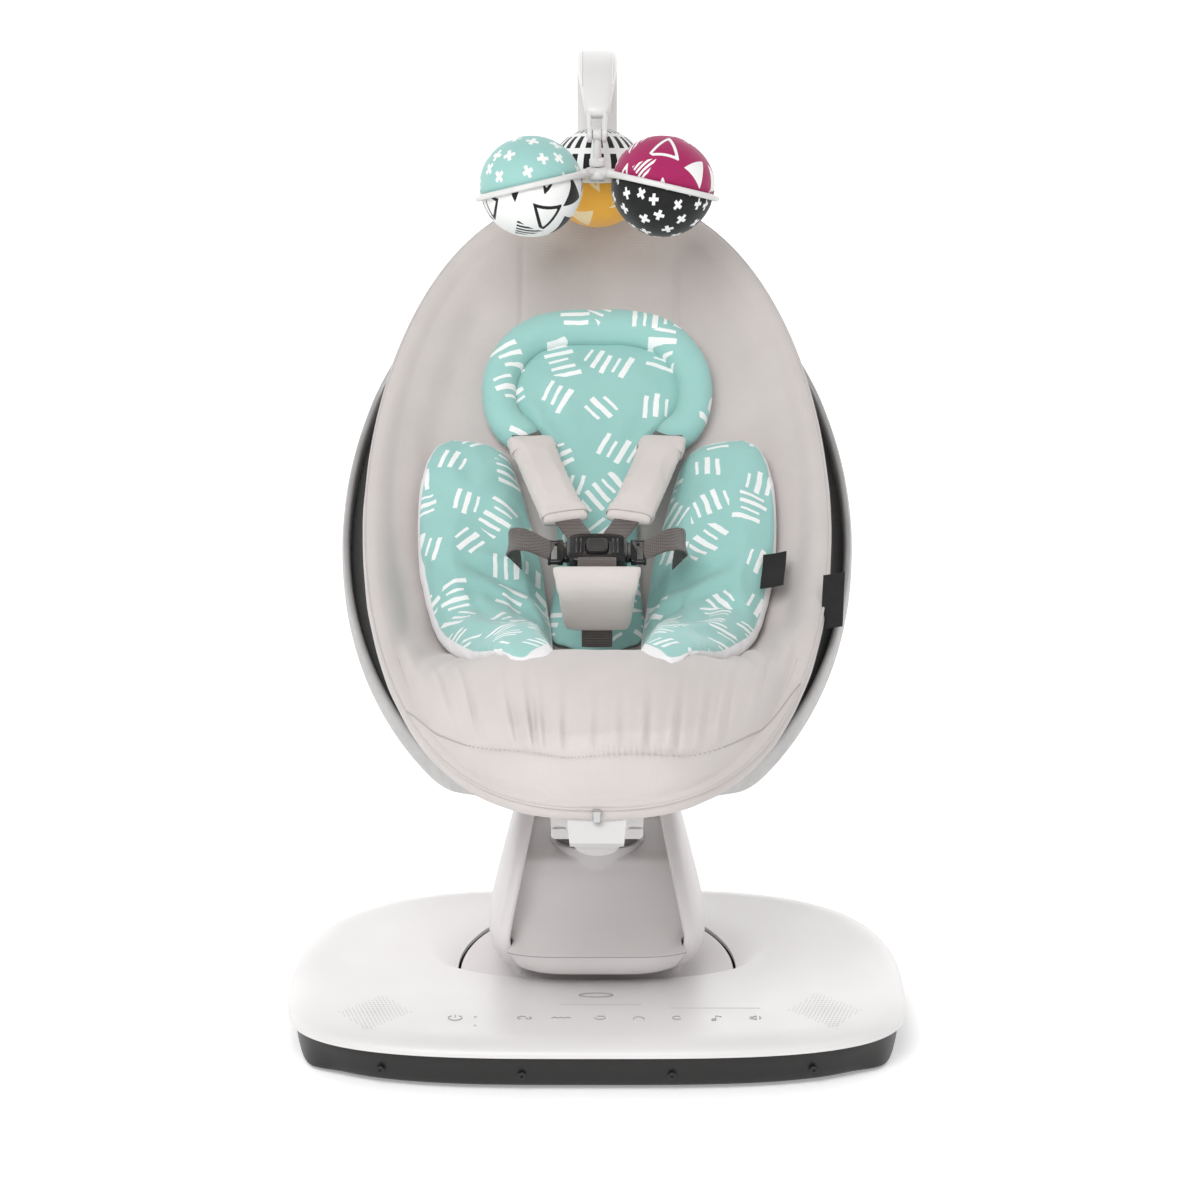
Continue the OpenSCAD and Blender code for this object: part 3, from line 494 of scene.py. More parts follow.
def webbing_material():
    """Satin woven webbing, ribbed across."""
    made = Shader("webbing", (0.09, 0.070, 0.064), 0.4, Sheen_Weight=0.3, Sheen_Roughness=0.35)
    made.tint(60.0, 0.18).grain(1300.0, 0.35, 0.0002, 3.0).weave(0.0016, 0.9, 0.0004)
    return made.material


def cells(made, where, size, randomness=0.5):
    """Splits a pattern into cells: local x and y turned by a random angle, and two random numbers."""
    voronoi = made.node("TexVoronoi", {"Scale": 1 / size, "Randomness": randomness}, voronoi_dimensions="2D")
    made.feed(voronoi.inputs["Vector"], where)
    local = made.node("VectorMath", {0: where, 1: voronoi.outputs["Position"]},
                      operation="SUBTRACT").outputs[0]
    parts = made.node("SeparateColor", {0: voronoi.outputs["Color"]}).outputs
    turned = made.node("VectorRotate",
                       {"Vector": local, "Angle": made.math("MULTIPLY", parts[0], 2 * math.pi)},
                       rotation_type="Z_AXIS").outputs[0]
    xy = made.node("SeparateXYZ", {0: turned}).outputs
    return xy[0], xy[1], parts[1], parts[2]


def strokes(made, where):
    """Mask of groups of parallel brush strokes, three to five in a group."""
    pitch, width, length, size = 0.0084, 0.0035, 0.0200, 0.041
    wobble = made.node("TexNoise", {"Vector": where, "Scale": 90.0, "Detail": 2.0}).outputs["Color"]
    shift = made.node("VectorMath", {0: wobble, 1: (0.5, 0.5, 0.5)}, operation="SUBTRACT").outputs[0]
    small = made.node("VectorMath", {0: shift, "Scale": 0.0022}, operation="SCALE").outputs[0]
    where = made.node("VectorMath", {0: where, 1: small}, operation="ADD").outputs[0]
    u, v, kind, other = cells(made, where, size, 0.6)
    row = made.math("ROUND", made.math("DIVIDE", v, pitch))
    across = made.math("ABSOLUTE", made.math("SUBTRACT", v, made.math("MULTIPLY", row, pitch)))
    thin = made.math("SINE",
                     made.math("ADD", made.math("MULTIPLY", row, 2.4), made.math("MULTIPLY", kind, 9.0)))
    half = made.math("MULTIPLY_ADD", thin, width * 0.17, width * 0.5)
    slide = made.math("SINE",
                      made.math("ADD", made.math("MULTIPLY", row, 1.7), made.math("MULTIPLY", other, 7.0)))
    reach = made.math("ABSOLUTE", made.math("MULTIPLY_ADD", slide, 0.0018, u))
    longer = made.math("MULTIPLY_ADD", thin, 0.0022, length * 0.5)
    count = made.math("ADD", made.math("ROUND", other), 1.1)
    inside = made.math("LESS_THAN", across, half)
    inside = made.math("MULTIPLY", inside, made.math("LESS_THAN", reach, longer))
    return made.math("MULTIPLY", inside, made.math("LESS_THAN", made.math("ABSOLUTE", row), count))


def print_material(name="teal_print"):
    """Teal plush with white brush strokes; its underside and edge are white."""
    made = cloth(name, TEAL, 0.0011, 0.85, 0.3, 0.35)
    where = made.attribute("cloth_map")
    printed = strokes(made, where)
    base = made.bsdf.inputs["Base Color"].links[0].from_socket
    colored = made.blend(printed, base, WHITE_PRINT)
    under = made.attribute("under", "Fac")
    made.paint(made.blend(made.span(under, 0.45, 0.55, 0.0, 1.0), colored, (0.80, 0.79, 0.80)))
    return made.material


def toy_shader(name, color):
    """Short plush for the balls."""
    return cloth(name, color, 0.0009, 0.8, 0.25, 0.25)


def cross_print(name, color, ink, size=0.026):
    """Small hand-drawn crosses."""
    made = toy_shader(name, color)
    u, v, kind, other = cells(made, made.attribute("cloth_map"), size, 0.45)
    a, b = made.math("ABSOLUTE", u), made.math("ABSOLUTE", v)
    arm, thick = size * 0.27, size * 0.085
    first = made.math("MULTIPLY", made.math("LESS_THAN", a, arm), made.math("LESS_THAN", b, thick))
    second = made.math("MULTIPLY", made.math("LESS_THAN", b, arm), made.math("LESS_THAN", a, thick))
    base = made.bsdf.inputs["Base Color"].links[0].from_socket
    made.paint(made.blend(made.math("MAXIMUM", first, second), base, ink))
    return made.material


def shape_print(name, color, ink, size=0.03, outline=0.0016, solid=0.6):
    """Triangles in outline, filled triangles and striped triangles."""
    made = toy_shader(name, color)
    u, v, kind, other = cells(made, made.attribute("cloth_map"), size, 0.5)
    slant = made.math("MULTIPLY_ADD", v, 0.5, made.math("MULTIPLY", made.math("ABSOLUTE", u), 0.866))
    edge = made.math("SMOOTH_MAX", slant, made.math("MULTIPLY", v, -1.0), 0.003)
    distance = made.math("SUBTRACT", edge, size * 0.23)
    line = made.math("LESS_THAN", made.math("ABSOLUTE", distance), outline)
    filled = made.math("LESS_THAN", distance, 0.0)
    bars = made.math("LESS_THAN", made.math("FRACT", made.math("DIVIDE", u, size * 0.14)), 0.55)
    barred = made.math("MULTIPLY", filled, bars)
    is_line = made.math("LESS_THAN", kind, 0.5)
    is_solid = made.math("GREATER_THAN", kind, 0.5 + solid * 0.5)
    rest = made.math("SUBTRACT", made.math("SUBTRACT", 1.0, is_line), is_solid)
    mask = made.math("MULTIPLY", line, is_line)
    mask = made.math("MAXIMUM", mask, made.math("MULTIPLY", filled, is_solid))
    mask = made.math("MAXIMUM", mask, made.math("MULTIPLY", barred, rest))
    base = made.bsdf.inputs["Base Color"].links[0].from_socket
    made.paint(made.blend(mask, base, ink))
    return made.material


def bar_print(name, color, ink, count=26):
    """Bars that run from the pole to the seam of a ball."""
    made = toy_shader(name, color)
    xy = made.node("SeparateXYZ", {0: made.attribute("cloth_map")}).outputs
    turn = made.math("ARCTAN2", xy[0], xy[1])
    bars = made.math("FRACT", made.math("MULTIPLY", turn, count / (2 * math.pi)))
    reach = made.math("SQRT",
                      made.math("ADD", made.math("MULTIPLY", xy[0], xy[0]),
                                made.math("MULTIPLY", xy[1], xy[1])))
    rings = made.math("GREATER_THAN", made.math("FRACT", made.math("DIVIDE", reach, 0.02)), 0.28)
    base = made.bsdf.inputs["Base Color"].links[0].from_socket
    made.paint(made.blend(made.math("MULTIPLY", made.math("LESS_THAN", bars, 0.5), rings), base, ink))
    return made.material


POST = post_material()
HOOP = hoop_material()
KNIT = mesh_material()
CLOTH = seat_material()
BORDER = seat_material("border_cloth", tuple(c * 0.96 for c in SEAT))
PAD = seat_material("pad_cloth", (0.66, 0.61, 0.585))
# The seat cloth made darker, used as painted shade in the cover's seam grooves.
SEAM_SHADE = seat_material("seam_shade_cloth", tuple(c * 0.72 for c in SEAT))
WEBBING = webbing_material()
PRINT = print_material()


# ---------------------------------------------------------------- base

cover_low, cover_high = box_mm("base_cover")
BASE_W = cover_high[0] - cover_low[0]
BASE_Y0 = -50.0
BASE_FRONT = BASE_Y0 - cover_low[1]
BASE_REAR = cover_high[1] - BASE_Y0
LIP_Z = cover_low[2]
DECK_Z = 43.0
EDGE_IN = 26.0
WALL = 3.0
TILT = math.atan2(-JOINTS["sway"]["axis"][1], JOINTS["sway"]["axis"][2])
DISC_Y = JOINTS["sway"]["pos_m"][1] / MM
DISC_Z = JOINTS["sway"]["pos_m"][2] / MM
DISC_R = 108.0
DISH_Y = 38.0


def super_point(t, across, front, rear, n):
    """Point of a superellipse with its own front and rear depth, t from +Y toward +X."""
    t = np.asarray(t, float)
    deep = np.where(np.cos(t) > 0, rear, front)
    return across * power(np.sin(t), 2 / n), deep * power(np.cos(t), 2 / n)


def base_point(t, inset):
    """Points of the base's outline, drawn in by inset."""
    x, y = super_point(t, BASE_W / 2 - inset, BASE_FRONT - inset, BASE_REAR - inset, 3.3)
    return x, y + BASE_Y0


def deck(y):
    """Height of the cover's upper face."""
    y = np.asarray(y, float)
    return DECK_Z + 16 * (np.maximum(0, y + 60) / 200) ** 1.3 - 3 * (np.maximum(0, -60 - y) / 138) ** 2


def dish_point(t, share):
    """From the dish's rim (share 0) to the gap round the turntable (share 1)."""
    s, c = np.abs(np.sin(t)), np.cos(t)
    rim = 1 / ((s / 137) ** 2.5 + (np.abs(c) / np.where(c > 0, 95, 88)) ** 2.5) ** (1 / 2.5)
    off, r = DISH_Y - DISC_Y, DISC_R + 2
    circle = np.sqrt(r * r - (off * np.sin(t)) ** 2) - off * c
    front = np.where(c < -1e-3, 84 / np.maximum(-c, 1e-3), 1e6)
    hole = (circle**-12 + front**-12) ** (-1 / 12)
    reach = rim + (hole - rim) * share
    return reach * np.sin(t), DISH_Y + reach * c


def gap_height(y):
    """Height of the dish's lower edge round the turntable."""
    return DISC_Z + (y - DISC_Y) * math.tan(TILT) + 0.5 + 3.5 * np.clip((-18 - y) / 20, 0, 1)


TURN = np.linspace(0, 2 * math.pi, 241)[:-1]


def cover_edge(angle, skin=0.0):
    """A ring of the cover's rounded edge: 0 degrees at the lip, 90 where it meets the deck."""
    a = math.radians(angle)
    x, y = base_point(TURN, skin + (EDGE_IN - skin) * (1 - math.cos(a)))
    return np.stack([x, y, LIP_Z + (deck(y) - LIP_Z - skin) * math.sin(a) ** 0.8], 1)


def cover_flat(share, skin=0.0):
    """A ring of the deck between its rounded edge and the dish."""
    ax, ay = base_point(TURN, EDGE_IN)
    bx, by = dish_point(TURN, 0)
    x, y = ax + (bx - ax) * share, ay + (by - ay) * share
    return np.stack([x, y, deck(y) - skin], 1)


def cover_dish(share, skin=0.0):
    """The dish's wall: it rounds off the deck and steepens toward the gap."""
    x, y = dish_point(TURN, share)
    gap_y = dish_point(TURN, 1)[1]
    low, high = gap_height(gap_y), deck(y)
    return np.stack([x, y, low + (high - low) * (1 - share) ** 1.6 - skin], 1)


def base_cover():
    """The white cover: rounded edge, gently crowned deck and dish, with its inner skin."""
    rings = [cover_edge(a) for a in (0, 3, 8, 15, 23, 32, 42, 52, 62, 72, 81, 90)]
    rings += [cover_flat(s) for s in (0.08, 0.2, 0.35, 0.5, 0.65, 0.78, 0.88, 0.94, 0.975)]
    rings += [cover_dish(s) for s in (0.012, 0.035, 0.07, 0.12, 0.2, 0.3, 0.42, 0.55, 0.68, 0.8, 0.9, 0.97,
                                      1)]
    rings += [cover_dish(s, WALL) for s in (1, 0.7, 0.3)]
    rings += [cover_flat(s, WALL) for s in (0.9, 0.5)]
    rings += [cover_edge(a, WALL) for a in (90, 60, 30, 0)]
    points, faces = loft(rings, closed=True)
    return make("cover_shell", points, faces, COVER, "base", ["base_cover"], "cover_white", sharp=60)


def base_pan():
    """Dark skirt: a bowed band that draws in under the cover, with a stouter block at each front corner."""
    low, high = box_mm("base_pan")
    inset = (BASE_W - (high[0] - low[0])) / 2
    profile = [(LIP_Z + 4, 0.5), (LIP_Z - 1, 0.2), (LIP_Z - 6, 0.8), (20, 2.2), (12, 4.0), (6, 6.0),
               (4, 7.5), (low[2], 10)]
    rings = []
    for z, draw in profile:
        corner = bell(np.abs(np.sin(TURN)) - 0.90, 0.085) * (np.cos(TURN) < 0.35)
        x, y = base_point(TURN, inset + draw * (1 - 0.85 * corner))
        rings.append(np.stack([x, y, np.full_like(x, z)], 1))
    floor = [np.stack([*base_point(TURN, 60), np.full_like(TURN, low[2])], 1),
             np.stack([*base_point(TURN, 60), np.full_like(TURN, low[2] + WALL)], 1),
             np.stack([*base_point(TURN, 12), np.full_like(TURN, low[2] + WALL)], 1),
             np.stack([*base_point(TURN, inset + WALL + 1), np.full_like(TURN, 20.0)], 1),
             np.stack([*base_point(TURN, inset + WALL), np.full_like(TURN, LIP_Z + 3)], 1)]
    points, faces = loft([*rings, *floor], closed=True)
    middle = np.stack([*base_point(TURN, 60), np.full_like(TURN, low[2])], 1)
    upper = middle + [0, 0, WALL]
    plate = loft([middle, upper])
    made = merge([(points, faces), plate])
    return make("skirt", *made, CHARCOAL, "base", ["base_pan"], "pan_charcoal")


def on_deck(path, lift=0.25):
    """Puts (x, y) pairs just above the deck."""
    path = np.asarray(path, float)
    return np.stack([path[:, 0], path[:, 1], deck(path[:, 1]) + lift], 1)


def arc(cx, cy, r, a0, a1, count=20):
    """Points of an arc on the deck; angles run clockwise from the rear."""
    t = np.radians(np.linspace(a0, a1, count))
    return np.stack([cx + r * np.sin(t), cy + r * np.cos(t)], 1)


def deck_marks():
    """Line icons of the controls: power, motion, speed, sound, volume, two lamps and an oval badge."""
    ink = plastic("icon_ink", (0.33, 0.33, 0.335), 0.5)
    row = -140.0
    lines = [arc(-108.8, row, 5.2, 35, 325), np.array([[-108.8, row + 1.0], [-108.8, row + 6.4]])]
    lines += [arc(-57.5, row, 3.4, 200, 430), arc(-52.5, row - 0.5, 2.2, 20, 250)]
    lines += [arc(-27.5 + dx, row - 1.5, 2.4, -70, 70, 10) for dx in (-5, 0, 5)]
    lines += [arc(2.4, row + 0.5, 4.0, 90, 270), np.array([[2.4 - 2.2, row + 3.6], [2.4 + 3.6, row + 3.2]])]
    lines += [arc(32.0, row - 2.0, 4.0, -90, 90), np.array([[28.0, row - 2.0], [28.0, row - 4.4]]),
              np.array([[36.0, row - 2.0], [36.0, row - 4.4]])]
    lines += [arc(61.5, row, 3.6, 130, 400)]
    lines += [np.array([[91.0, row - 4.0], [91.0, row + 4.0], [95.5, row + 2.4]]),
              arc(89.4, row - 4.2, 1.7, 0, 360, 14)]
    lines += [np.array([[117.0, row - 1.6], [119.4, row - 1.6], [122.0, row - 4.0], [122.0, row + 4.0],
                        [119.4, row + 1.6], [117.0, row + 1.6]]), arc(122.0, row, 3.4, 45, 135, 8)]
    parts = [wire(on_deck(line), 0.34, sides=6) for line in lines]
    make("control_icons", *merge(parts), ink, "base")
    hair = [wire(on_deck([[-28, -110.5], [34, -110.5]]), 0.22, sides=6),
            wire(on_deck([[56, -118], [126, -118]]), 0.14, sides=6)]
    make("deck_hairlines", *merge(hair), plastic("hairline_ink", (0.56, 0.55, 0.55), 0.5), "base")
    badge = arc(-0.8, -88, 1.0, 0, 351, 40)
    badge = np.stack([-0.8 + (badge[:, 0] + 0.8) * 13, -88 + (badge[:, 1] + 88) * 4.6], 1)
    make("badge_ring", *wire(on_deck(badge), 0.55, closed=True), ink, "base")
    lamp = plastic("lamp_lens", (0.62, 0.63, 0.62), 0.25)
    for number, (x, y) in enumerate(((-93.5, -137.5), (-93.2, -156.5))):
        dome = [on_deck(arc(x, y, r, 0, 345, 24), 0.15 + h) for r,
                h in ((1.15, 0), (1.1, 0.3), (0.8, 0.55), (0.3, 0.62))]
        make(f"lamp_{number + 1}", *loft(dome), lamp, "base")


def grille(name, cx, cy, lean):
    """A lozenge of fine sound holes; each is a shallow grey cup in the deck, its grey painted as the shade
    inside the hole.
    """
    parts = []
    pitch_x, pitch_y = 3.1, 4.4
    for i in range(-9, 10):
        for j in range(-8, 9):
            x = i * pitch_x + (j % 2) * pitch_x / 2
            y = j * pitch_y
            reach = abs(x) / 29 + abs(y) / 40
            if reach > 1:
                continue
            r = 0.95 * (1 - 0.5 * reach)
            px, py = cx + x + lean * y, cy + y
            rings = [on_deck(arc(px, py, q, 0, 315, 8), h) for q,
                     h in ((r * 1.25, 0.0), (r, 0.14), (r * 0.8, 0.02))]
            parts.append(loft(rings))
    # Grey painted as the shade inside the sound holes.
    ink = bpy.data.materials.get("grille_hole_shade") or plastic("grille_hole_shade", (0.50, 0.485, 0.48), 0.6)
    return make(name, *merge(parts), ink, "base")


def turntable():
    """The tilted disc with a rounded edge."""
    t = np.linspace(0, 2 * math.pi, 161)[:-1]
    rings = []
    for r, z in ((20, -5.6), (DISC_R - 1.5, -6), (DISC_R, -4.5), (DISC_R, -1.6), (DISC_R - 0.5, -0.6),
                 (DISC_R - 1.6, -0.05),
                 (DISC_R - 4, 0), (DISC_R - 30, 0), (40, 0), (20, 0)):
        ring = np.stack([r * np.sin(t), r * np.cos(t), np.full_like(t, z)], 1)
        y = ring[:, 1] * math.cos(TILT) - ring[:, 2] * math.sin(TILT)
        z = ring[:, 1] * math.sin(TILT) + ring[:, 2] * math.cos(TILT)
        rings.append(np.stack([ring[:, 0], DISC_Y + y, DISC_Z + z], 1))
    make("turntable_plate", *loft(rings), TOWER, "turntable", ["turntable_disc"], "tower_white")


def pedestal():
    """The stem between the turntable and the tower's shells, cut off along the tilted disc."""
    high = box_mm("pedestal")[1]
    t = np.linspace(0, 2 * math.pi, 121)[:-1]
    rings = []
    for z, grow in ((22.0, 5.0), (30.0, 2.5), (36.0, 0.8), (42.0, 0.1), (high[2] - 4, 0.0)):
        x, y = super_point(t, 66 + grow, 43 + grow, 43 + grow, 5)
        floor = DISC_Z + (y + 18 - DISC_Y) * math.tan(TILT) - 1
        rings.append(np.stack([x, y + 18, np.maximum(z, floor)], 1))
    make("pedestal_block", *loft(rings), TOWER, "turntable", ["pedestal"], "tower_white")


# ---------------------------------------------------------------- tower

TOWER_FLOOR = 48.0
TOWER_WIDE_Z = 84.0
CHEEK_TOP = box_mm("tower_rear_shell")[1][2]
CHEEK_LINE = [[TOWER_FLOOR, -40], [72, -64], [92, -67], [136, -50], [CHEEK_TOP, -14]]
CHEEK_ARC = 130.0
POST_Y = 14.0
POST_R = 34.0


def swell(z, full, slope, p):
    """Half width of the tower: full at its hips, tapering upward and tucked in below."""
    below = full * np.sqrt(np.maximum(0, 1 - (np.maximum(0, TOWER_WIDE_Z - z) / 57) ** 2.4))
    return np.where(z < TOWER_WIDE_Z, below, full - slope * np.maximum(0, z - TOWER_WIDE_Z) ** p)


def tower_half(z):
    """Half width of the tower from side to side."""
    return swell(np.asarray(z, float), 85, 0.17, 1.08)


def tower_rear(z):
    """How far the tower reaches to the rear."""
    return swell(np.asarray(z, float), 72, 0.13, 1.05)


def cheek_front(z):
    """How far the cheeks reach to the front, before the outline's corners are rounded."""
    return -hermite(CHEEK_LINE, z) / math.sqrt(-math.cos(math.radians(CHEEK_ARC)))


def shell_points(angles, z, side, back):
    """The tower's outer skin at angles from the rear, drawn in by side at the cheeks and back at the rear."""
    a = np.radians(angles)
    deep = np.where(np.cos(a) > 0, tower_rear(z) - back, cheek_front(z))
    return np.stack([(tower_half(z) - side) * power(np.sin(a), 0.5), deep * power(np.cos(a), 0.5), z], -1)


def tower_shell():
    """The wrap-round shell. Its front and upper edges turn over in a soft lip."""
    angles = np.linspace(-CHEEK_ARC, CHEEK_ARC, 141)
    top = 158 + (CHEEK_TOP - 158) * np.sin(np.radians(np.clip((np.abs(angles) - 40) * 1.8, 0, 90))) ** 2
    rows_out, rows_in = [], []
    for s in np.concatenate([np.linspace(0, 0.9, 38), [0.94, 0.97, 0.99, 1.0]]):
        z = TOWER_FLOOR + s * (top - TOWER_FLOOR)
        edge = np.clip((CHEEK_ARC - np.abs(angles)) / 5, 0, 1)
        over = 1 - np.sqrt(1 - (1 - edge) ** 2 * 0.96)
        lip = 1 - math.sqrt(1 - max(0, (s - 0.9) / 0.1) ** 2 * 0.96)
        lip_foot = 1 - math.sqrt(1 - max(0, (0.08 - s) / 0.08) ** 2 * 0.9)
        share = np.maximum(over, max(lip, lip_foot)) * 0.5
        rows_out.append(shell_points(angles, z, 10 * share, 4 * share))
        rows_in.append(shell_points(angles, z, 10 * (1 - share), 4 * (1 - share)))
    points, faces = slab(rows_out, rows_in)
    return make("tower_wrap", points, faces, TOWER, "turntable", ["tower_rear_shell"], "tower_white",
                sharp=80)


PANEL_LINE = [[-30, 50], [-62, 52], [-74, 58], [-84, 73], [-66, 78], [-46, 89], [-33, 107],
              [-26, 124], [-19, 134], [0, 139], [30, 145], [56, 150]]
TOE_HALF = [46, 50, 60, 69.5]


def front_panel():
    """The panel between the cheeks: a toe with a crisp crease, a sloping shelf and a scooped back."""
    line, half = [], []
    toe = spline(PANEL_LINE[:4], 6)
    shelf = spline(PANEL_LINE[3:], 6)
    toe_half = spline([[h, 0] for h in TOE_HALF], 6)[:, 0]
    for p, h in zip(toe, toe_half):
        line.append(p)
        half.append(h)
    for p in shelf[1:]:
        reach = np.where(p[0] < 0, cheek_front(p[1]), tower_rear(p[1]) - 4)
        inside = (tower_half(p[1]) - 10) * max(0.02, 1 - (abs(p[0]) / abs(float(reach))) ** 4) ** 0.25 - 0.4
        line.append(p)
        half.append(inside)
    line, half = np.array(line), np.array(half)
    count = len(line)
    blend_rows = slice(len(toe) - 1, len(toe) + 5)
    half[blend_rows] = np.linspace(TOE_HALF[-1], half[len(toe) + 5], 6)
    u = np.linspace(-1, 1, 61)
    along = unit(np.gradient(line, axis=0))
    out = np.stack([-along[:, 1], along[:, 0]], 1)
    order = np.arange(count)
    bow = np.where((order > 3) & (line[:, 1] < 86), 1.0, 0.0)
    bow = np.convolve(bow, np.ones(5) / 5, "same")
    outer, inner = [], []
    for i in range(count):
        y = line[i, 0] + 12 * np.abs(u) ** 5 * bow[i]
        z = np.full_like(u, line[i, 1])
        hollow = 2.2 * (1 - u**2) * step(line[i, 1], 84, 100) * step(-line[i, 1], -140, -125)
        row = np.stack([u * half[i], y + hollow, z], 1)
        outer.append(row)
        inner.append(row - np.array([0, out[i, 0], out[i, 1]]) * WALL)
    collar = POST_R + 3.6
    for grid in (outer, inner):
        for row in grid:
            gap = np.hypot(row[:, 0], row[:, 1] - POST_Y)
            push = (gap < collar) & (row[:, 2] > 120)
            direction = np.stack([row[:, 0], row[:, 1] - POST_Y], 1) / np.maximum(gap, 1)[:, None]
            row[push, 0] = direction[push, 0] * collar
            row[push, 1] = POST_Y + direction[push, 1] * collar
    points, faces = slab(outer, inner)
    return make("tower_face", points, faces, TOWER, "turntable", ["tower_front_panel"], "tower_white",
                sharp=38)


def seam_lines():
    """The dark joint between the tower's toe and its underside."""
    u = np.linspace(-1, 1, 41)
    crease = np.stack([u * 69.3, -84.2 + 12 * np.abs(u) ** 5 + 0.4, np.full_like(u, 72.4)], 1)
    make("toe_joint", *wire(crease, 0.32, sides=6), plastic("joint_shadow", (0.30, 0.29, 0.29), 0.6),
         "turntable")


# ---------------------------------------------------------------- lift, hub and rail

PIVOT = np.array(JOINTS["recline"]["pos_m"][1:]) / MM
RAIL_R = 383.0
CHANNEL_GAP = 0.6       # clearance beside the rail
HUB_HALF = 36
HUB_THICK = 20          # thickness of each half of the hub
CHANNEL_R = 9.9         # half height of the channel through the hub
HUB_ARC = (1, 19, 1.5)  # the hub's first and last angle, and the step between its rows


def rail_point(angle, radius):
    """y and z of a point on an arc about the recline axis, by angle from straight down."""
    a = np.radians(angle)
    return PIVOT[0] + radius * np.sin(a), PIVOT[1] - radius * np.cos(a)


def arc_solid(half, low_r, high_r, a0, a1, step_deg=1.5, corner=3.0):
    """A bar bent round the recline axis with rounded long edges."""
    angles = np.linspace(a0, a1, int((a1 - a0) / step_deg) + 2)
    wide, deep = half, (high_r - low_r) / 2
    ring = []
    for sx, sz in ((1, -1), (1, 1), (-1, 1), (-1, -1)):
        start = {(1, -1): -90, (1, 1): 0, (-1, 1): 90, (-1, -1): 180}[(sx, sz)]
        for k in range(5):
            b = math.radians(start + k * 22.5)
            ring.append([sx * (wide - corner) + corner * math.cos(b),
                         sz * (deep - corner) + corner * math.sin(b)])
    ring = np.array(ring)
    rows = []
    for angle in angles:
        y, z = rail_point(angle, (low_r + high_r) / 2 + ring[:, 1])
        rows.append(np.stack([ring[:, 0], y, z], 1))
    return loft(rows)


def rail_half():
    """Half width of the rail."""
    low, high = box_mm("rail")
    return (high[0] - low[0]) / 2


def rail():
    """The curved rail, and a dark strip along its back painted as the shade in its groove."""
    points, faces = arc_solid(rail_half(), RAIL_R - 9, RAIL_R + 9, -26, 92, 1.5, 4.0)
    make("curved_rail", points, faces, RAIL, "seat", ["rail"], "rail_grey")
    # A thin dark strip painted as the shade in the groove along the rail's back.
    painted_lines = [arc_solid(1.0, RAIL_R + 8.6, RAIL_R + 9.5, 22, 88, 2.0, 0.4)]
    make("rail_groove_shade", *merge(painted_lines), DARK, "seat")


def hub_tab():
    """The white tongue that hangs over the collar, with a small release slot."""
    outline = [[36, 178], [36, 172], [31, 167.5], [25, 163], [21, 157], [17, 150], [11, 145.6], [0, 143.4]]
    inner = rail_half() + CHANNEL_GAP
    notch = [[inner, 168.4], [inner, 178]]
    right = np.vstack([notch, spline(outline, 5)])
    left = right[::-1][1:] * [-1, 1]
    flat = np.vstack([right, left])
    centre = np.array([0, 166.0])
    rings = []
    for y, share in ((-41, 0.9), (-42, 1.0), (-47.5, 1.0), (-49.2, 0.985), (-50, 0.95), (-50.2, 0.7)):
        p = centre + (flat - centre) * share
        rings.append(np.stack([p[:, 0], np.full(len(p), y), p[:, 1]], 1))
    return loft(rings)


def channel_walls(low_r, high_r):
    """The hub's two walls beside the channel that the rail slides through."""
    inner = rail_half() + CHANNEL_GAP
    walls = []
    for side in (-1, 1):
        points, faces = arc_solid((HUB_HALF - inner) / 2, low_r, high_r, *HUB_ARC, 2.0)
        walls.append((np.asarray(points) + [side * (HUB_HALF + inner) / 2, 0, 0], faces))
    return walls


def hub():
    """The hub's lower half on the post, with two bosses for the lever's pin, and the clamp above the rail."""
    shell = arc_solid(HUB_HALF, RAIL_R + CHANNEL_R, RAIL_R + HUB_THICK, *HUB_ARC, 4.0)
    t = np.linspace(0, 2 * math.pi, 97)[:-1]
    neck = [np.stack([r * np.sin(t), POST_Y + r * np.cos(t), np.full_like(t, z)], 1)
            for r, z in ((33.4, 158), (34, 158.6), (34, 160), (34, 160))]
    neck[-1][:, 2] = PIVOT[1] - np.sqrt((RAIL_R + 15) ** 2 - (neck[-1][:, 1] - PIVOT[0]) ** 2)
    bosses = []
    y, z = rail_point(21.5, RAIL_R + 17)
    turn = np.linspace(0, 2 * math.pi, 25)[:-1]
    for x in (-20.5, 20.5):
        ring = [np.stack([np.full(24, x + dx), y + 7 * s * np.sin(turn), z + 7 * s * np.cos(turn)], 1)
                for dx, s in ((-3.5, 0.9), (-3.1, 1), (3.1, 1), (3.5, 0.9))]
        bosses.append(loft(ring))
        web = np.array([[x - 3.5, y - 19, z], [x + 3.5, y - 19, z], [x + 3.5, y, z], [x - 3.5, y, z]])
        bosses.append(loft([web, web + [0, 0, 7]]))
    bosses.append(wire(np.array([[-22, y, z], [0, y, z], [22, y, z]]), 2.9, sides=16))
    points, faces = merge([shell, *channel_walls(RAIL_R, RAIL_R + 12), loft(neck), hub_tab(), *bosses])
    make("hub_body", points, faces, HUB, "lift", ["hub_lower"], "hub_white")
    clamp = [arc_solid(HUB_HALF, RAIL_R - HUB_THICK, RAIL_R - CHANNEL_R, *HUB_ARC, 4.0),
             *channel_walls(RAIL_R - 12, RAIL_R - 0.2)]
    make("hub_clamp", *merge(clamp), HUB, "lift", ["hub_cap"], "hub_white")
    # A dark bar painted as the shade in the tab's release slot.
    slot = np.array([[-2.3, -50.5, 167.4], [2.3, -50.5, 167.4]])
    make("hub_slot_shade", *wire(slot, 0.75, sides=10), DARK, "lift")


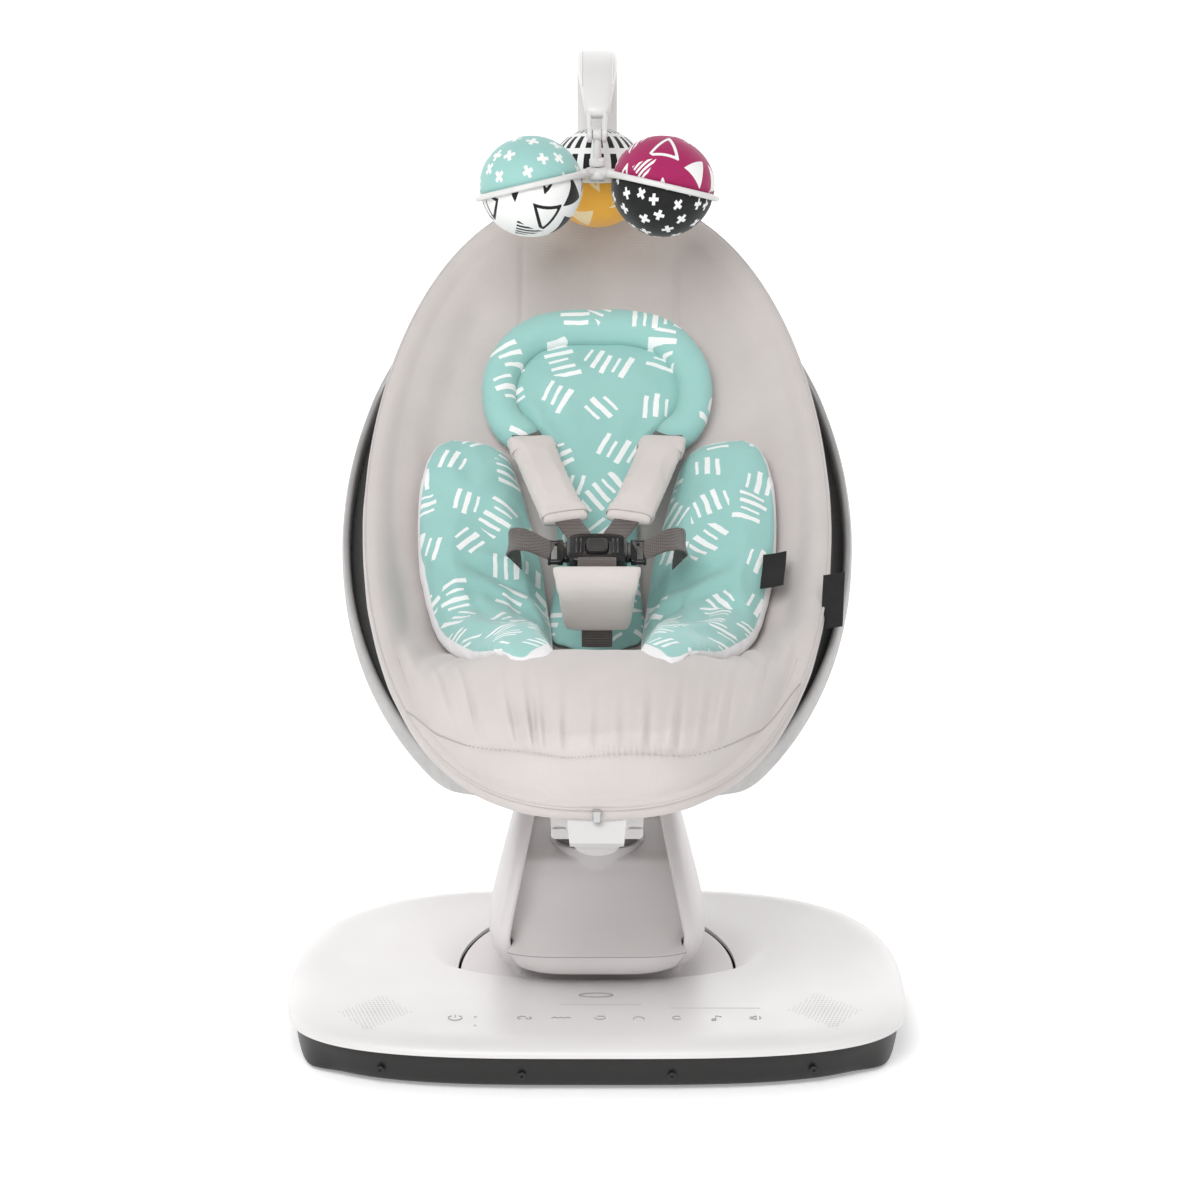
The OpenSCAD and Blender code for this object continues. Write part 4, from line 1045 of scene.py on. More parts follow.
def cad_finishes():
    """Better materials for the CAD parts that show as they are."""
    looks = {
        RUBBER: ["rubber_feet", "collar_ring"],
        DARK: ["speaker_left", "speaker_right", "power_inlet", "audio_jack", "base_screws"],
        BOARD: ["control_board", "main_board"], BOBBIN: ["sway_motor", "lift_motor", "bearing_plate"],
        CREAM: ["sway_pinion", "sway_gear", "lift_pinion", "post_rack", "lift_carriage"],
        BRASS: ["slew_bush"],
        STEEL: ["tower_screws", "guide_rods", "lift_springs"], POST: ["post_tube"], LEVER: ["recline_lever"],
        RAIL: ["foot_joiner", "head_joiner"], MOBILE: ["mobile_socket"],
    }
    for material, names in looks.items():
        for name in names:
            obj = frame["nodes"][name]
            obj.data.materials.clear()
            obj.data.materials.append(material)
    for name, width in (("rubber_feet", 0.8), ("recline_lever", 1.2), ("mobile_socket", 2.0)):
        bevel(frame["nodes"][name], width)


# ---------------------------------------------------------------- seat coordinates

FOOT = np.array([-245.0, 227.0])
HEAD = np.array([335.0, 597.0])
CHORD = float(np.linalg.norm(HEAD - FOOT))
ALONG = (HEAD - FOOT) / CHORD
BELOW = np.array([ALONG[1], -ALONG[0]])
RIM_SAG = 50.0
RIM_IN = 8.5            # the rim's line lies this far inside the cover's edge
EDGE_HALF = 185.0       # half width of the cover's edge at its widest
HOOP_HALF = 198.7
HOOP_SAG = 84
HOOP_BEHIND = 18
ROLL_R = 9.9            # the cover's roll over the rim tube
SLING_LINE = [[0, 6], [14, 3], [37, -36], [85, -52], [140, -38], [200, 38], [262, 100], [330, 98], [430, 72],
              [560, 36], [CHORD, 0]]


def seat_point(x, c, d):
    """Points in the model's frame from seat coordinates."""
    x, c, d = np.broadcast_arrays(np.asarray(x, float), np.asarray(c, float), np.asarray(d, float))
    return np.stack([x, FOOT[0] + ALONG[0] * c + BELOW[0] * d, FOOT[1] + ALONG[1] * c + BELOW[1] * d], -1)


def seat_coordinates(points):
    """Seat coordinates of points in the model's frame."""
    offset = np.asarray(points, float)[..., 1:] - FOOT
    return np.asarray(points, float)[..., 0], offset @ ALONG, offset @ BELOW


def sag(c, deep):
    """Depth of an arc that sags by deep at the middle of the chord."""
    r = (CHORD * CHORD / 4 + deep * deep) / (2 * deep)
    return np.sqrt(r * r - (np.asarray(c, float) - CHORD / 2) ** 2) - (r - deep)


def egg(angle):
    """Distance from the foot end at an angle round the rim."""
    return CHORD * (1 - np.cos(np.radians(angle))) / 2


def half_width(c, full, p, lean):
    """Half width of an egg outline; lean makes its head end broader or narrower."""
    k = np.clip(1 - 2 * np.asarray(c, float) / CHORD, -1, 1)
    return full * (1 - k * k) ** p * (1 - lean * k)


def rim_half(c):
    """Half width of the cover's edge."""
    return half_width(c, EDGE_HALF, 0.4265, 0.054)


def rim_path(angle, out=0.0, low=0.0):
    """The rim's line inside the cover's edge; at the foot the tight cover draws it in a little."""
    c = egg(angle)
    turn = np.radians(angle)
    normal = np.stack([np.sin(turn) * CHORD / 2, -np.cos(turn) * EDGE_HALF], -1)
    offset = unit(normal) * (np.asarray(out, float) - RIM_IN)[..., None]
    drawn = 8.0 * np.maximum(0, 1 - c / 120) ** 2
    side = np.sign(np.sin(turn))
    return seat_point(side * rim_half(c) + offset[..., 0], c + drawn + offset[..., 1], sag(c, RIM_SAG) + low)


def hoop_clear(c):
    """0 where the outer hoop is hidden in the cover's edge, 1 where it stands clear."""
    return step(c, 20, 120) * step(CHORD - c, 60, 170)


def hoop_path(angle, out=0.0, low=0.0):
    """The outer hoop stands clear of the rim at the sides and slips under the cover at both ends."""
    c = egg(angle)
    side = np.sign(np.sin(np.radians(angle)))
    hidden = rim_path(angle, 0, 3)
    clear = seat_point(side * half_width(c, HOOP_HALF, 0.598, 0.174), c, HOOP_BEHIND + sag(c, HOOP_SAG))
    path = hidden + (clear - hidden) * hoop_clear(c)[..., None]
    return path + np.stack([side * out, low * BELOW[0] + 0 * side, low * BELOW[1] + 0 * side], -1)


def sling_depth(x, c):
    """Depth of the plain sling below the plane through the rim's ends."""
    edge = sag(c, RIM_SAG)
    u = np.minimum(1, np.abs(x) / np.maximum(rim_half(c) - RIM_IN - 2, 1))
    return edge + (hermite(SLING_LINE, c) - edge) * (1 - u**3)


FLAT_C = np.linspace(0, CHORD, 345)
FLAT_LINE = hermite(SLING_LINE, FLAT_C)
FLAT_RUN = np.concatenate([[0], np.cumsum(np.hypot(np.diff(FLAT_C), np.diff(FLAT_LINE)))])


def flat_map(points):
    """Where each point would lie on the cloth spread flat, in metres, for the prints."""
    x, c, d = seat_coordinates(points)
    share = np.linspace(0, 1, 21)
    xs = x[:, None] * share
    ds = sling_depth(xs, np.broadcast_to(c[:, None], xs.shape))
    run = np.hypot(np.diff(xs, axis=1), np.diff(ds, axis=1)).sum(1) * np.sign(x)
    return np.stack([run, np.interp(c, FLAT_C, FLAT_RUN), np.zeros(len(x))], 1) * MM


# ---------------------------------------------------------------- seat cover

BOLSTER_SEAM = spline([(-146, 137), (-95, 72), (-42, 40), (2, 36), (69, 49), (123, 107), (155, 168)], 16)
GATHERS = [(-108, -0.5, 1.4), (-91, -0.35, 2.0), (-63, -0.2, 2.2), (-50, -0.12, 3.2), (-42, -0.05, 2.0),
           (-28, 0.0, 1.8),
           (-6, 0.05, 1.0), (14, 0.0, 0.9), (33, 0.05, 2.0), (54, 0.12, 2.6), (74, 0.2, 1.5), (89, 0.3, 2.4),
           (112, 0.5, 1.6)]
FOLDS = [((129, 234), (143, 165), 7, 3.0), ((-127, 228), (-141, 160), 7, 2.6),
         ((112, 215), (134, 150), 6, 1.8),
         ((-113, 205), (-131, 148), 6, 1.8), ((150, 300), (158, 215), 8, 1.5),
         ((-150, 310), (-157, 225), 8, 1.5)]


def beside(x, c, line):
    """Distance from a line in seat coordinates, positive on its head side."""
    gap = np.hypot(x[..., None] - line[:, 0], c[..., None] - line[:, 1])
    near = gap.argmin(-1)
    tangent = np.gradient(line, axis=0)[near]
    side = tangent[..., 0] * (c - line[near, 1]) - tangent[..., 1] * (x - line[near, 0])
    return gap.min(-1) * np.sign(side)


def crease(x, c, a, b, width, deep):
    """A soft valley along a straight line, with a lip on each side."""
    a, b = np.array(a, float), np.array(b, float)
    along = (b - a) / np.linalg.norm(b - a)
    run = (x - a[0]) * along[0] + (c - a[1]) * along[1]
    across = (x - a[0]) * along[1] - (c - a[1]) * along[0]
    length = np.linalg.norm(b - a)
    fade = step(run, -0.25 * length, 0.3 * length) * step(-run, -1.25 * length, -0.7 * length)
    return deep * fade * (bell(across, width) - 0.6 * bell(np.abs(across) - 2.1 * width, width))


def rim_gap(x, c):
    """How far each point lies inside the rim's line, negative outside it, and the rim's depth beside it."""
    ring = np.stack(seat_coordinates(rim_path(np.arange(0.75, 360, 1.5))), -1)
    point = np.stack([x, c], -1)
    near = np.hypot(x[..., None] - ring[:, 0], c[..., None] - ring[:, 1]).argmin(-1)
    gap, depth = np.full(x.shape, np.inf), np.zeros(x.shape)
    for first in (near - 1, near):
        start = ring[first]
        run = ring[(first + 1) % len(ring)] - start
        share = ((point - start[..., :2]) * run[..., :2]).sum(-1) / (run[..., :2] ** 2).sum(-1)
        foot = start + run * np.clip(share, 0, 1)[..., None]
        apart = np.linalg.norm(point - foot[..., :2], axis=-1)
        depth = np.where(apart < gap, foot[..., 2], depth)
        gap = np.minimum(apart, gap)
    half_x, half_c = seat_coordinates(rim_path(np.linspace(0.5, 179.5, 360)))[:2]
    within = np.where(np.abs(x) < np.interp(c, half_c, half_x), 1, -1)
    return gap * within, depth


def cover_depth(x, c):
    """Depth of the finished cover: bolster, seams, gathers, folds, and the roll over the rim at its edge."""
    d = sling_depth(x, c)
    away, rim_depth = rim_gap(x, c)
    inside = step(away, 6, 30)
    side = beside(x, c, BOLSTER_SEAM)
    sewn = step(away, 4, 13)
    d = d - 5.0 * step(side, 0, 12) * step(-side, -110, -50) * sewn
    d = d + 3.6 * bell(side, 2.2) * sewn
    above = step(side, 0, 6) * bell(side, 32)
    for at, lean, strong in GATHERS:
        off = x - at - lean * side
        d = d - 1.7 * strong * above * (bell(off, 3.0) - 0.8 * bell(off - 5.4, 3.0)) * sewn
    for a, b, width, deep in FOLDS:
        d = d + 1.9 * crease(x, c, a, b, width, deep) * inside
    for seam in (-62, 65):
        d = d + 2.0 * bell(x - seam, 2.0) * step(c, 430, 500) * inside
    d = d - 1.6 * (bell(x + 11, 11) + bell(x - 20, 11)) * step(c, 500, 580) * inside
    d = d - 2.2 * bell(np.abs(x) - 0.82 * rim_half(c), 14) * step(c, 230, 330) * inside
    d = d + 1.1 * lumps(x, c, 0.6, 46) * inside + 0.5 * lumps(x, c, 2.0, 17) * inside
    d = d - 8.5 * step(-away, -42, -4) + 3 * np.maximum(0, -away)
    roll = rim_depth - np.where(away < 0, np.sqrt(np.maximum(0, ROLL_R**2 - away**2)),
                                ROLL_R - 0.055 * away**2)
    mix = np.clip(0.5 + (roll - d) / 6, 0, 1)
    return roll + (d - roll) * mix - 3 * mix * (1 - mix)


def seat_cover():
    """The padded cover in one piece, wrapped over the rim all round."""
    edge_x, edge_c = seat_coordinates(rim_path(np.linspace(0.5, 179.5, 360), 6.5))[:2]
    rows = np.concatenate([np.linspace(edge_c[0] + 0.5, 120, 72), np.linspace(120, 300, 60)[1:],
                           np.linspace(300, edge_c[-1] - 0.5, 90)[1:]])
    u = np.sin(np.linspace(-math.pi / 2, math.pi / 2, 181)) * 0.35 + np.linspace(-1, 1, 181) * 0.65
    c = np.repeat(rows[:, None], len(u), 1)
    x = u[None, :] * np.interp(c, edge_c, edge_x)
    depth = cover_depth(x, c)
    filled = step(rim_gap(x, c)[0], 2, 26)
    top = seat_point(x, c, depth)
    low = seat_point(x, c, depth + 1.2 + (9 + 0.8 * lumps(x, c, 3.0, 60)) * filled)
    points, faces = slab(top, low)
    sling = make("seat_cover", points, faces, CLOTH, "seat", ["sling"], "seat_fabric", sharp=180)


def on_cover(line, lift=0.0):
    """A line of (x, c) laid on the finished cover."""
    line = np.asarray(line, float)
    return seat_point(line[:, 0], line[:, 1], cover_depth(line[:, 0], line[:, 1]) - lift)


def seat_border():
    """The padded edge round the rim, its piping, and darker lines painted as the shade in the cover's seams.
    """
    angles = np.arange(0.75, 360, 1.5)
    path = rim_path(angles)
    wobble = 1 + 0.015 * np.sin(np.radians(angles) * 23 + 1) + 0.01 * np.sin(np.radians(angles) * 41)
    profile = oval(8.7, 8.9, 18, 2.1)
    rings = sweep(path, profile, [0, BELOW[0], BELOW[1]], closed=True, scale=wobble)
    edge = make("seat_border", *loft(rings, closed=True), BORDER, "seat", ["rim_tube"], "seat_fabric",
                sharp=180)
    hem = wire(rim_path(angles, 6.9, -6.9), 1.15, closed=True, sides=8)
    lip = wire(rim_path(np.linspace(-64, 64, 90), -3, -9.3), 1.1, sides=8)
    make("seat_piping", *merge([hem, lip]), BORDER, "seat", slot="seat_fabric")
    # The seam lines are painted shade: darker seat cloth laid along the bolster seam and the two back seams.
    seams = [wire(on_cover(BOLSTER_SEAM, -0.2), 0.75, sides=6)]
    for seam in (-62, 65):
        line = np.stack([np.full(40, float(seam)), np.linspace(470, 655, 40)], 1)
        seams.append(wire(on_cover(line, -1.2), 0.45, sides=6))
    make("seat_seams", *merge(seams), SEAM_SHADE, "seat", slot="seat_fabric")
    slider = seat_point([0, 0], [6.6, 5.4], [-9.0, 1.0])
    body = loft(sweep(slider, oval(3.2, 2.0, 12, 3), [1, 0, 0]))
    make("zip_slider", *body, STEEL, "seat")


def hoop():
    """The flat outer hoop; it thins where it slips under the cover."""
    angles = np.arange(0.75, 360, 1.5)
    c = egg(angles)
    clear = hoop_clear(c)
    profile = oval(12, 3.5, 20, 3.0)
    scale = np.stack([0.42 + 0.58 * clear, 0.75 + 0.25 * clear], 1)
    rings = sweep(hoop_path(angles), profile, [0, BELOW[0], BELOW[1]], closed=True, scale=scale)
    make("outer_hoop", *loft(rings, closed=True), HOOP, "seat", ["side_hoop"], "frame_grey", sharp=60)


def side_knit(name, side):
    """Mesh cloth stretched between the rim and the hoop."""
    angles = np.linspace(31, 149, 84)
    share = np.linspace(0.03, 0.97, 12)
    a = rim_path(angles, 0, 5)
    b = hoop_path(angles, -2, 7)
    grid = a[:, None] + (b - a)[:, None] * share[None, :, None]
    belly = np.sin(share * math.pi)[None, :] * np.sin(np.linspace(0, math.pi, len(angles)))[:, None]
    grid[:, :, 0] -= 3.5 * belly
    grid[:, :, 0] *= side
    points = grid.reshape(-1, 3)
    faces = grid_faces(len(angles), len(share))
    replaced = ["side_mesh"] if side > 0 else []
    knit = make(name, points, faces, KNIT, "seat", replaced, "mesh_black", sharp=180)


def tag(name, corners, depth):
    """A small blank woven tag, slightly curled."""
    u, v = np.meshgrid(np.linspace(0, 1, 9), np.linspace(0, 1, 13))
    corners = np.array(corners, float)
    a = corners[0] + (corners[1] - corners[0]) * u[..., None] + (corners[2] - corners[0]) * v[..., None]
    normal = unit(np.cross(corners[1] - corners[0], corners[2] - corners[0]))
    a = a + normal * (depth * np.sin(u * math.pi * 0.8)[..., None] + 0.8 * np.sin(v * 5)[..., None])
    made = make(name, *slab(a, a - normal * 0.9), TAG, "seat", sharp=40)
    return made


TAG = cloth("woven_tag", (0.014, 0.014, 0.014), 0.0007, 0.7, 0.15, 0.25).material


def tags():
    """Two blank black tags: on the right edge of the seat and on the right bolster."""
    rim = rim_path(np.array([78.0]))[0]
    top = np.array([176, rim[1] - 11, 357])
    tag("rim_tag", [top, top + [17, 2, 2], top + [-2, -10, -41]], 1.0)
    x = np.array([131.0, 149.0, 128.0])
    c = np.array([322.0, 322.0, 288.0])
    place = seat_point(x, c, sling_depth(x, c) - [31, 26, 31])
    tag("insert_tag", place, 1.0)


# ---------------------------------------------------------------- soft pads

def settle(obj, voxel=5.0, pressure=4.0, cap=9.0, shrink=0.0, smooth=True):
    """Remeshes a piece evenly and lets it fill out as cloth over its stuffing."""
    remesh = obj.modifiers.new("remesh", "REMESH")
    remesh.mode = "VOXEL"
    remesh.voxel_size = voxel * MM
    apply_modifiers(obj)
    start = points_mm(obj)
    scene = bpy.context.scene
    scene.frame_set(1)
    sim = obj.modifiers.new("cloth", "CLOTH")
    settings = sim.settings
    settings.quality = 6
    settings.mass = 0.3
    settings.tension_stiffness = 12
    settings.compression_stiffness = 12
    settings.shear_stiffness = 6
    settings.bending_stiffness = 0.4
    settings.use_pressure = True
    settings.uniform_pressure_force = pressure
    settings.shrink_min = shrink
    settings.effector_weights.gravity = 0
    sim.collision_settings.use_collision = False
    sim.point_cache.frame_start = 1
    sim.point_cache.frame_end = 20
    for number in range(1, 21):
        scene.frame_set(number)
    apply_modifiers(obj)
    scene.frame_set(1)
    moved = points_mm(obj) - start
    far = np.linalg.norm(moved, axis=1, keepdims=True)
    set_points_mm(obj, start + moved * np.minimum(1, cap / np.maximum(far, 1e-6)))
    if smooth:
        finer = obj.modifiers.new("finer", "SUBSURF")
        finer.levels = 1
        finer.render_levels = 1
        apply_modifiers(obj)
    obj.data.polygons.foreach_set("use_smooth", [True] * len(obj.data.polygons))
    return obj


PAD_PROFILE = [(0.3, 0.0), (0.7, 0.0), (0.9, 0.04), (0.975, 0.15), (1.0, 0.33), (0.99, 0.5), (0.95, 0.7),
               (0.87, 0.86),
               (0.7, 0.97), (0.45, 1.0), (0.2, 1.0)]


def toe_share(c, toe):
    """A pad's share of its full thickness: its toe, near the foot end, is thinner."""
    return toe + (1 - toe) * step(c, 120, 230)


def pad_mesh(outline, centre, thick, lift, toe=1.0):
    """A crowned pad on the sling inside an outline of (x, c)."""
    outline = spline(outline, 5, closed=True)
    centre = np.array(centre, float)
    rings = []
    for share, height in PAD_PROFILE:
        q = centre + (outline - centre) * share
        rings.append(seat_point(q[:, 0], q[:, 1],
                                sling_depth(q[:, 0], q[:, 1]) - lift - thick * height * toe_share(q[:, 1],
                                    toe)))
    return loft(rings)


def tube_pad(path, across, high, lift):
    """A stuffed roll that lies on the sling along a path of (x, c)."""
    path = spline(path, 7)
    flat = np.column_stack([path, np.zeros(len(path))])
    flat, scale = rounded_ends(flat, across, 5)
    along = unit(np.gradient(flat, axis=0))
    side = np.stack([along[:, 1], -along[:, 0]], 1)
    t = np.linspace(0, 2 * math.pi, 21)[:-1]
    rings = []
    for p, s, k in zip(flat, side, scale):
        q = p[:2] + np.outer(np.cos(t) * across * k, s)
        h = lift + high * (1 + np.sin(t) * k)
        rings.append(seat_point(q[:, 0], q[:, 1], sling_depth(q[:, 0], q[:, 1]) - h))
    return loft(rings)


def printed(obj, under_share, lift, thick, toe=1.0):
    """Stores the print's flat map, and where the white underside shows."""
    points = points_mm(obj)
    x, c, d = seat_coordinates(points)
    set_attribute(obj, "cloth_map", flat_map(points))
    high = (sling_depth(x, c) - d - lift) / (thick * toe_share(c, toe))
    edge = under_share * toe_share(c, 0.55 if toe < 1 else 1)
    set_attribute(obj, "under", np.clip(0.5 + (edge - high) * 4, 0, 1))


def press(obj, lines):
    """Presses creases into the upper side of a pad; each line is (a, b, width, depth)."""
    points = points_mm(obj)
    x, c, d = seat_coordinates(points)
    upper = step(sling_depth(x, c) - d, 8, 18)
    for a, b, width, deep in lines:
        d = d + crease(x, c, a, b, width, deep) * upper
    set_points_mm(obj, seat_point(x, c, d))


def mirror(points):
    """The same outline on the other side."""
    return [(-x, c) for x, c in points]


RING_HALF = [(0, 556), (32, 555), (57, 545), (74, 523), (80, 496), (73, 468), (50, 449)]
PANEL = [(-72, 520), (-54, 543), (-28, 552), (0, 553), (28, 552), (54, 543), (72, 520), (76, 494), (66, 466),
         (48, 434),
         (40, 385), (39, 330), (34, 268), (-34, 268), (-39, 330), (-40, 385), (-48, 434), (-66, 466),
         (-76, 494)]
SIDE = [(31, 132), (45, 120), (62, 124), (92, 170), (119, 222), (136, 285), (144, 338), (142, 400),
        (129, 443), (103, 453),
        (71, 441), (53, 390), (42, 345), (33, 280), (29, 200)]


def insert():
    """The printed newborn insert: a head ring, a back panel, and a side bolster for each leg and hip."""
    left = mirror(RING_HALF[1:])[::-1]
    ring = make("insert_ring", *tube_pad(left + RING_HALF, 14.5, 13, 1), PRINT, "seat", ["insert_pillow"],
                "insert_teal")
    settle(ring, 4.5, 3.0, 5)
    printed(ring, 0.2, 1, 26)
    panel = make("insert_panel", *pad_mesh(PANEL, (0, 470), 13, 1.5), PRINT, "seat", ["insert_spine"],
                 "insert_teal")
    settle(panel, 4.5, 3.0, 6)
    press(panel,
          [((-50, 500), (-20, 440), 6, 1.6), ((52, 500), (22, 440), 6, 1.6),
           ((-14, 470), (10, 520), 8, 1.0)])
    printed(panel, 0.1, 1.5, 13)
    for name, points, centre, node in (("insert_bolster_right", SIDE, (90, 320), "insert_side_right"),
                                       ("insert_bolster_left", mirror(SIDE), (-90, 320),
                                        "insert_side_left")):
        pad = make(name, *pad_mesh(points, centre, 31, 2.5, 0.45), PRINT, "seat", [node], "insert_teal")
        settle(pad, 5.0, 4.0, 8)
        s = 1 if centre[0] > 0 else -1
        press(pad, [((s * 34, 292), (s * 99, 315), 6, 5.0), ((s * 60, 175), (s * 118, 232), 7, 1.5),
                    ((s * 60, 420), (s * 88, 380), 7, 1.8), ((s * 112, 440), (s * 100, 395), 6, 1.4)])
        printed(pad, 0.5, 2.5, 31, 0.45)


# ---------------------------------------------------------------- harness

BUCKLE = np.array([0, 5.0, 374.0])
TILT_B = math.radians(23)
B_UP = np.array([0, math.cos(TILT_B), math.sin(TILT_B)])
B_OUT = np.array([0, -math.sin(TILT_B), math.cos(TILT_B)])


def buckle_point(x, up, out):
    """Points in the buckle's own directions: across, up the plate and out of it."""
    x, up, out = np.broadcast_arrays(np.asarray(x, float), np.asarray(up, float), np.asarray(out, float))
    return BUCKLE + x[..., None] * np.array([1.0, 0, 0]) + up[..., None] * B_UP + out[..., None] * B_OUT


def strap(path, width, thick, wide=(1, 0, 0), steps=8, scale=None, squareness=3.5):
    """A band along a smooth path with softly rounded edges and ends."""
    path = spline(path, steps)
    points, ends = rounded_ends(path, thick / 2, 3)
    ends = np.stack([0.96 + 0.04 * ends, ends], 1)
    if scale is not None:
        ends = ends * np.stack([np.interp(np.linspace(0, 1, len(points)), np.linspace(0, 1, len(scale)),
                                          scale),
                                np.ones(len(points))], 1)
    return loft(sweep(points, oval(width / 2, thick / 2, 24, squareness), wide, scale=ends))


def soft_strap(name, path, width, thick, node, wide=(1, 0, 0), scale=None):
    """A padded sleeve on the harness, filled out as cloth over its stuffing."""
    pad = make(name, *strap(path, width, thick, wide, scale=scale, squareness=4.5), PAD, "seat", [node],
               "harness_pad")
    settle(pad, 2.6, 3.0, 3)


def harness():
    """Shoulder and crotch sleeves, the webbing between them, and the two waist loops."""
    for side, name in ((-1, "left"), (1, "right")):
        path = [(side * 24, 42, 390.5), (side * 34, 78, 403.5), (side * 45, 118, 418.5),
                (side * 53, 147, 430.5),
                (side * 55, 155, 429)]
        soft_strap(f"shoulder_sleeve_{name}", path, 37, 11, f"shoulder_pad_{name}")
        hems = [strap([(side * 26, 49.6, 393.6), (side * 26.8, 52.4, 394.6)], 37.6, 13.4),
                strap([(side * 50.6, 138.4, 426.6), (side * 51.3, 141, 427.6)], 37.6, 13.4)]
        make(f"shoulder_hem_{name}", *merge(hems), PAD, "seat", slot="harness_pad")
    soft_strap("crotch_sleeve", [(0, -22, 370), (0, -28, 354), (0, -20, 334), (0, -7, 317)], 59, 12,
               "crotch_pad",
               scale=[1.2, 1.1, 0.96, 0.84])
    bands = [strap([(0, -9, 318), (0, 2, 306), (0, 10, 297)], 24, 2)]
    for side in (-1, 1):
        bands.append(strap([(side * 24, 45, 391), (side * 19, 34, 387), (side * 14, 22, 383),
                            (side * 12, 15, 379)], 20, 2.2))
        bands.append(strap([(side * 54, 148, 430), (side * 57, 160, 434.5), (side * 59, 171, 435.5)], 24, 2))
    bands.append(strap([(0, -12, 374), (0, -18, 371), (0, -24, 366)], 30, 3))
    make("harness_bands", *merge(bands), WEBBING, "seat", ["harness_webbing"], "webbing_brown")
    for side, name in ((-1, "left"), (1, "right")):
        path = buckle_point(side * np.array([35, 43, 53, 62, 68, 66, 60]),
                            np.array([0, 2, 6, 11, 17, 22, 24]),
                            np.array([1, 4, 6, 4, -3, -14, -24]))
        loop = make(f"waist_loop_{name}", *strap(path, 25, 2.2, B_UP, 6), WEBBING, None,
                    slot="webbing_brown")
        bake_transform(loop)


def buckle():
    """A domed housing with a square button and two tongues."""
    outline = oval(1, 1, 64, 4.5)
    rings = []
    for out, share in ((-6.5, 0.9), (-6.0, 0.96), (-4.5, 1.0), (3.0, 1.0), (4.8, 0.985), (5.8, 0.95),
                       (6.3, 0.88)):
        dome = 0.6 * (1 - share)
        rings.append(buckle_point(outline[:, 0] * 24 * share, outline[:, 1] * 18 * share, out + dome))
    well = oval(8.9, 8.9, 64, 5)
    rings += [buckle_point(well[:, 0] * 1.06, well[:, 1] * 1.06, 6.6),
              buckle_point(well[:, 0], well[:, 1], 6.2),
              buckle_point(well[:, 0] * 0.99, well[:, 1] * 0.99, 1.8)]
    ribs = []
    for side in (-1, 1):
        for offset in (12.6, 16.0):
            line = buckle_point(np.full(9, side * offset), np.linspace(-9.5, 9.5, 9), np.full(9, 6.35))
            ribs.append(wire(line, 0.75, sides=8))
    edge = oval(21.6, 15.8, 72, 4.5)
    ribs.append(wire(buckle_point(edge[:, 0], edge[:, 1], np.full(72, 5.95)), 0.6, closed=True, sides=8))
    make("buckle_body", *merge([loft(rings), *ribs]), BUCKLE_LOOK, "seat", ["buckle_housing"],
         "buckle_black", sharp=45)
    cap = []
    for out, share in ((4.2, 0.97), (7.4, 0.98), (8.2, 0.95), (8.5, 0.9), (8.3, 0.7), (8.1, 0.3)):
        square = oval(8.5 * share, 8.5 * share, 48, 5)
        cap.append(buckle_point(square[:, 0], square[:, 1], out))
    make("buckle_press_button", *loft(cap), BUTTON, "button", ["buckle_button"], "buckle_black", sharp=45)
    for side, name in ((-1, "left"), (1, "right")):
        bars = []
        for x0, x1, half, thick in ((10, 27, 11, 2.5), (26, 31.2, 14, 2.6), (35.6, 38.5, 14, 2.6)):
            ring = oval(1, 1, 32, 6)
            body = [buckle_point(side * ((x0 + x1) / 2 + ring[:, 0] * (x1 - x0) / 2 * k),
                                 ring[:, 1] * half * k, out)
                    for out, k in ((-thick, 0.95), (-thick * 0.8, 1), (thick * 0.8, 1), (thick, 0.95))]
            bars.append(loft(body))
        for up in (-12.2, 12.2):
            rod_path = buckle_point(side * np.array([29.0, 33, 37]), np.full(3, float(up)), np.zeros(3))
            bars.append(wire(rod_path, 2.2, sides=10))
        make(f"tongue_{name}_frame", *merge(bars), BUCKLE_LOOK, f"tongue_{name}", [f"buckle_tongue_{name}"],
             "buckle_black")



BUTTON = plastic("button_plastic", (0.035, 0.032, 0.031), 0.35, 1600.0)


# ---------------------------------------------------------------- mobile

ARM_Y, ARM_Z, ARM_R = 296.0, 644.5, 74.0
SPIDER_Y, SPIDER_Z, LINK_TOP = 222.0, 636.0, 668.0
BALL_R, BALL_REACH = 42.0, 61.0
HOOP_LEAN, HOOP_PITCH = math.radians(13), math.radians(10)
HOOP_R = BALL_R + 2.2


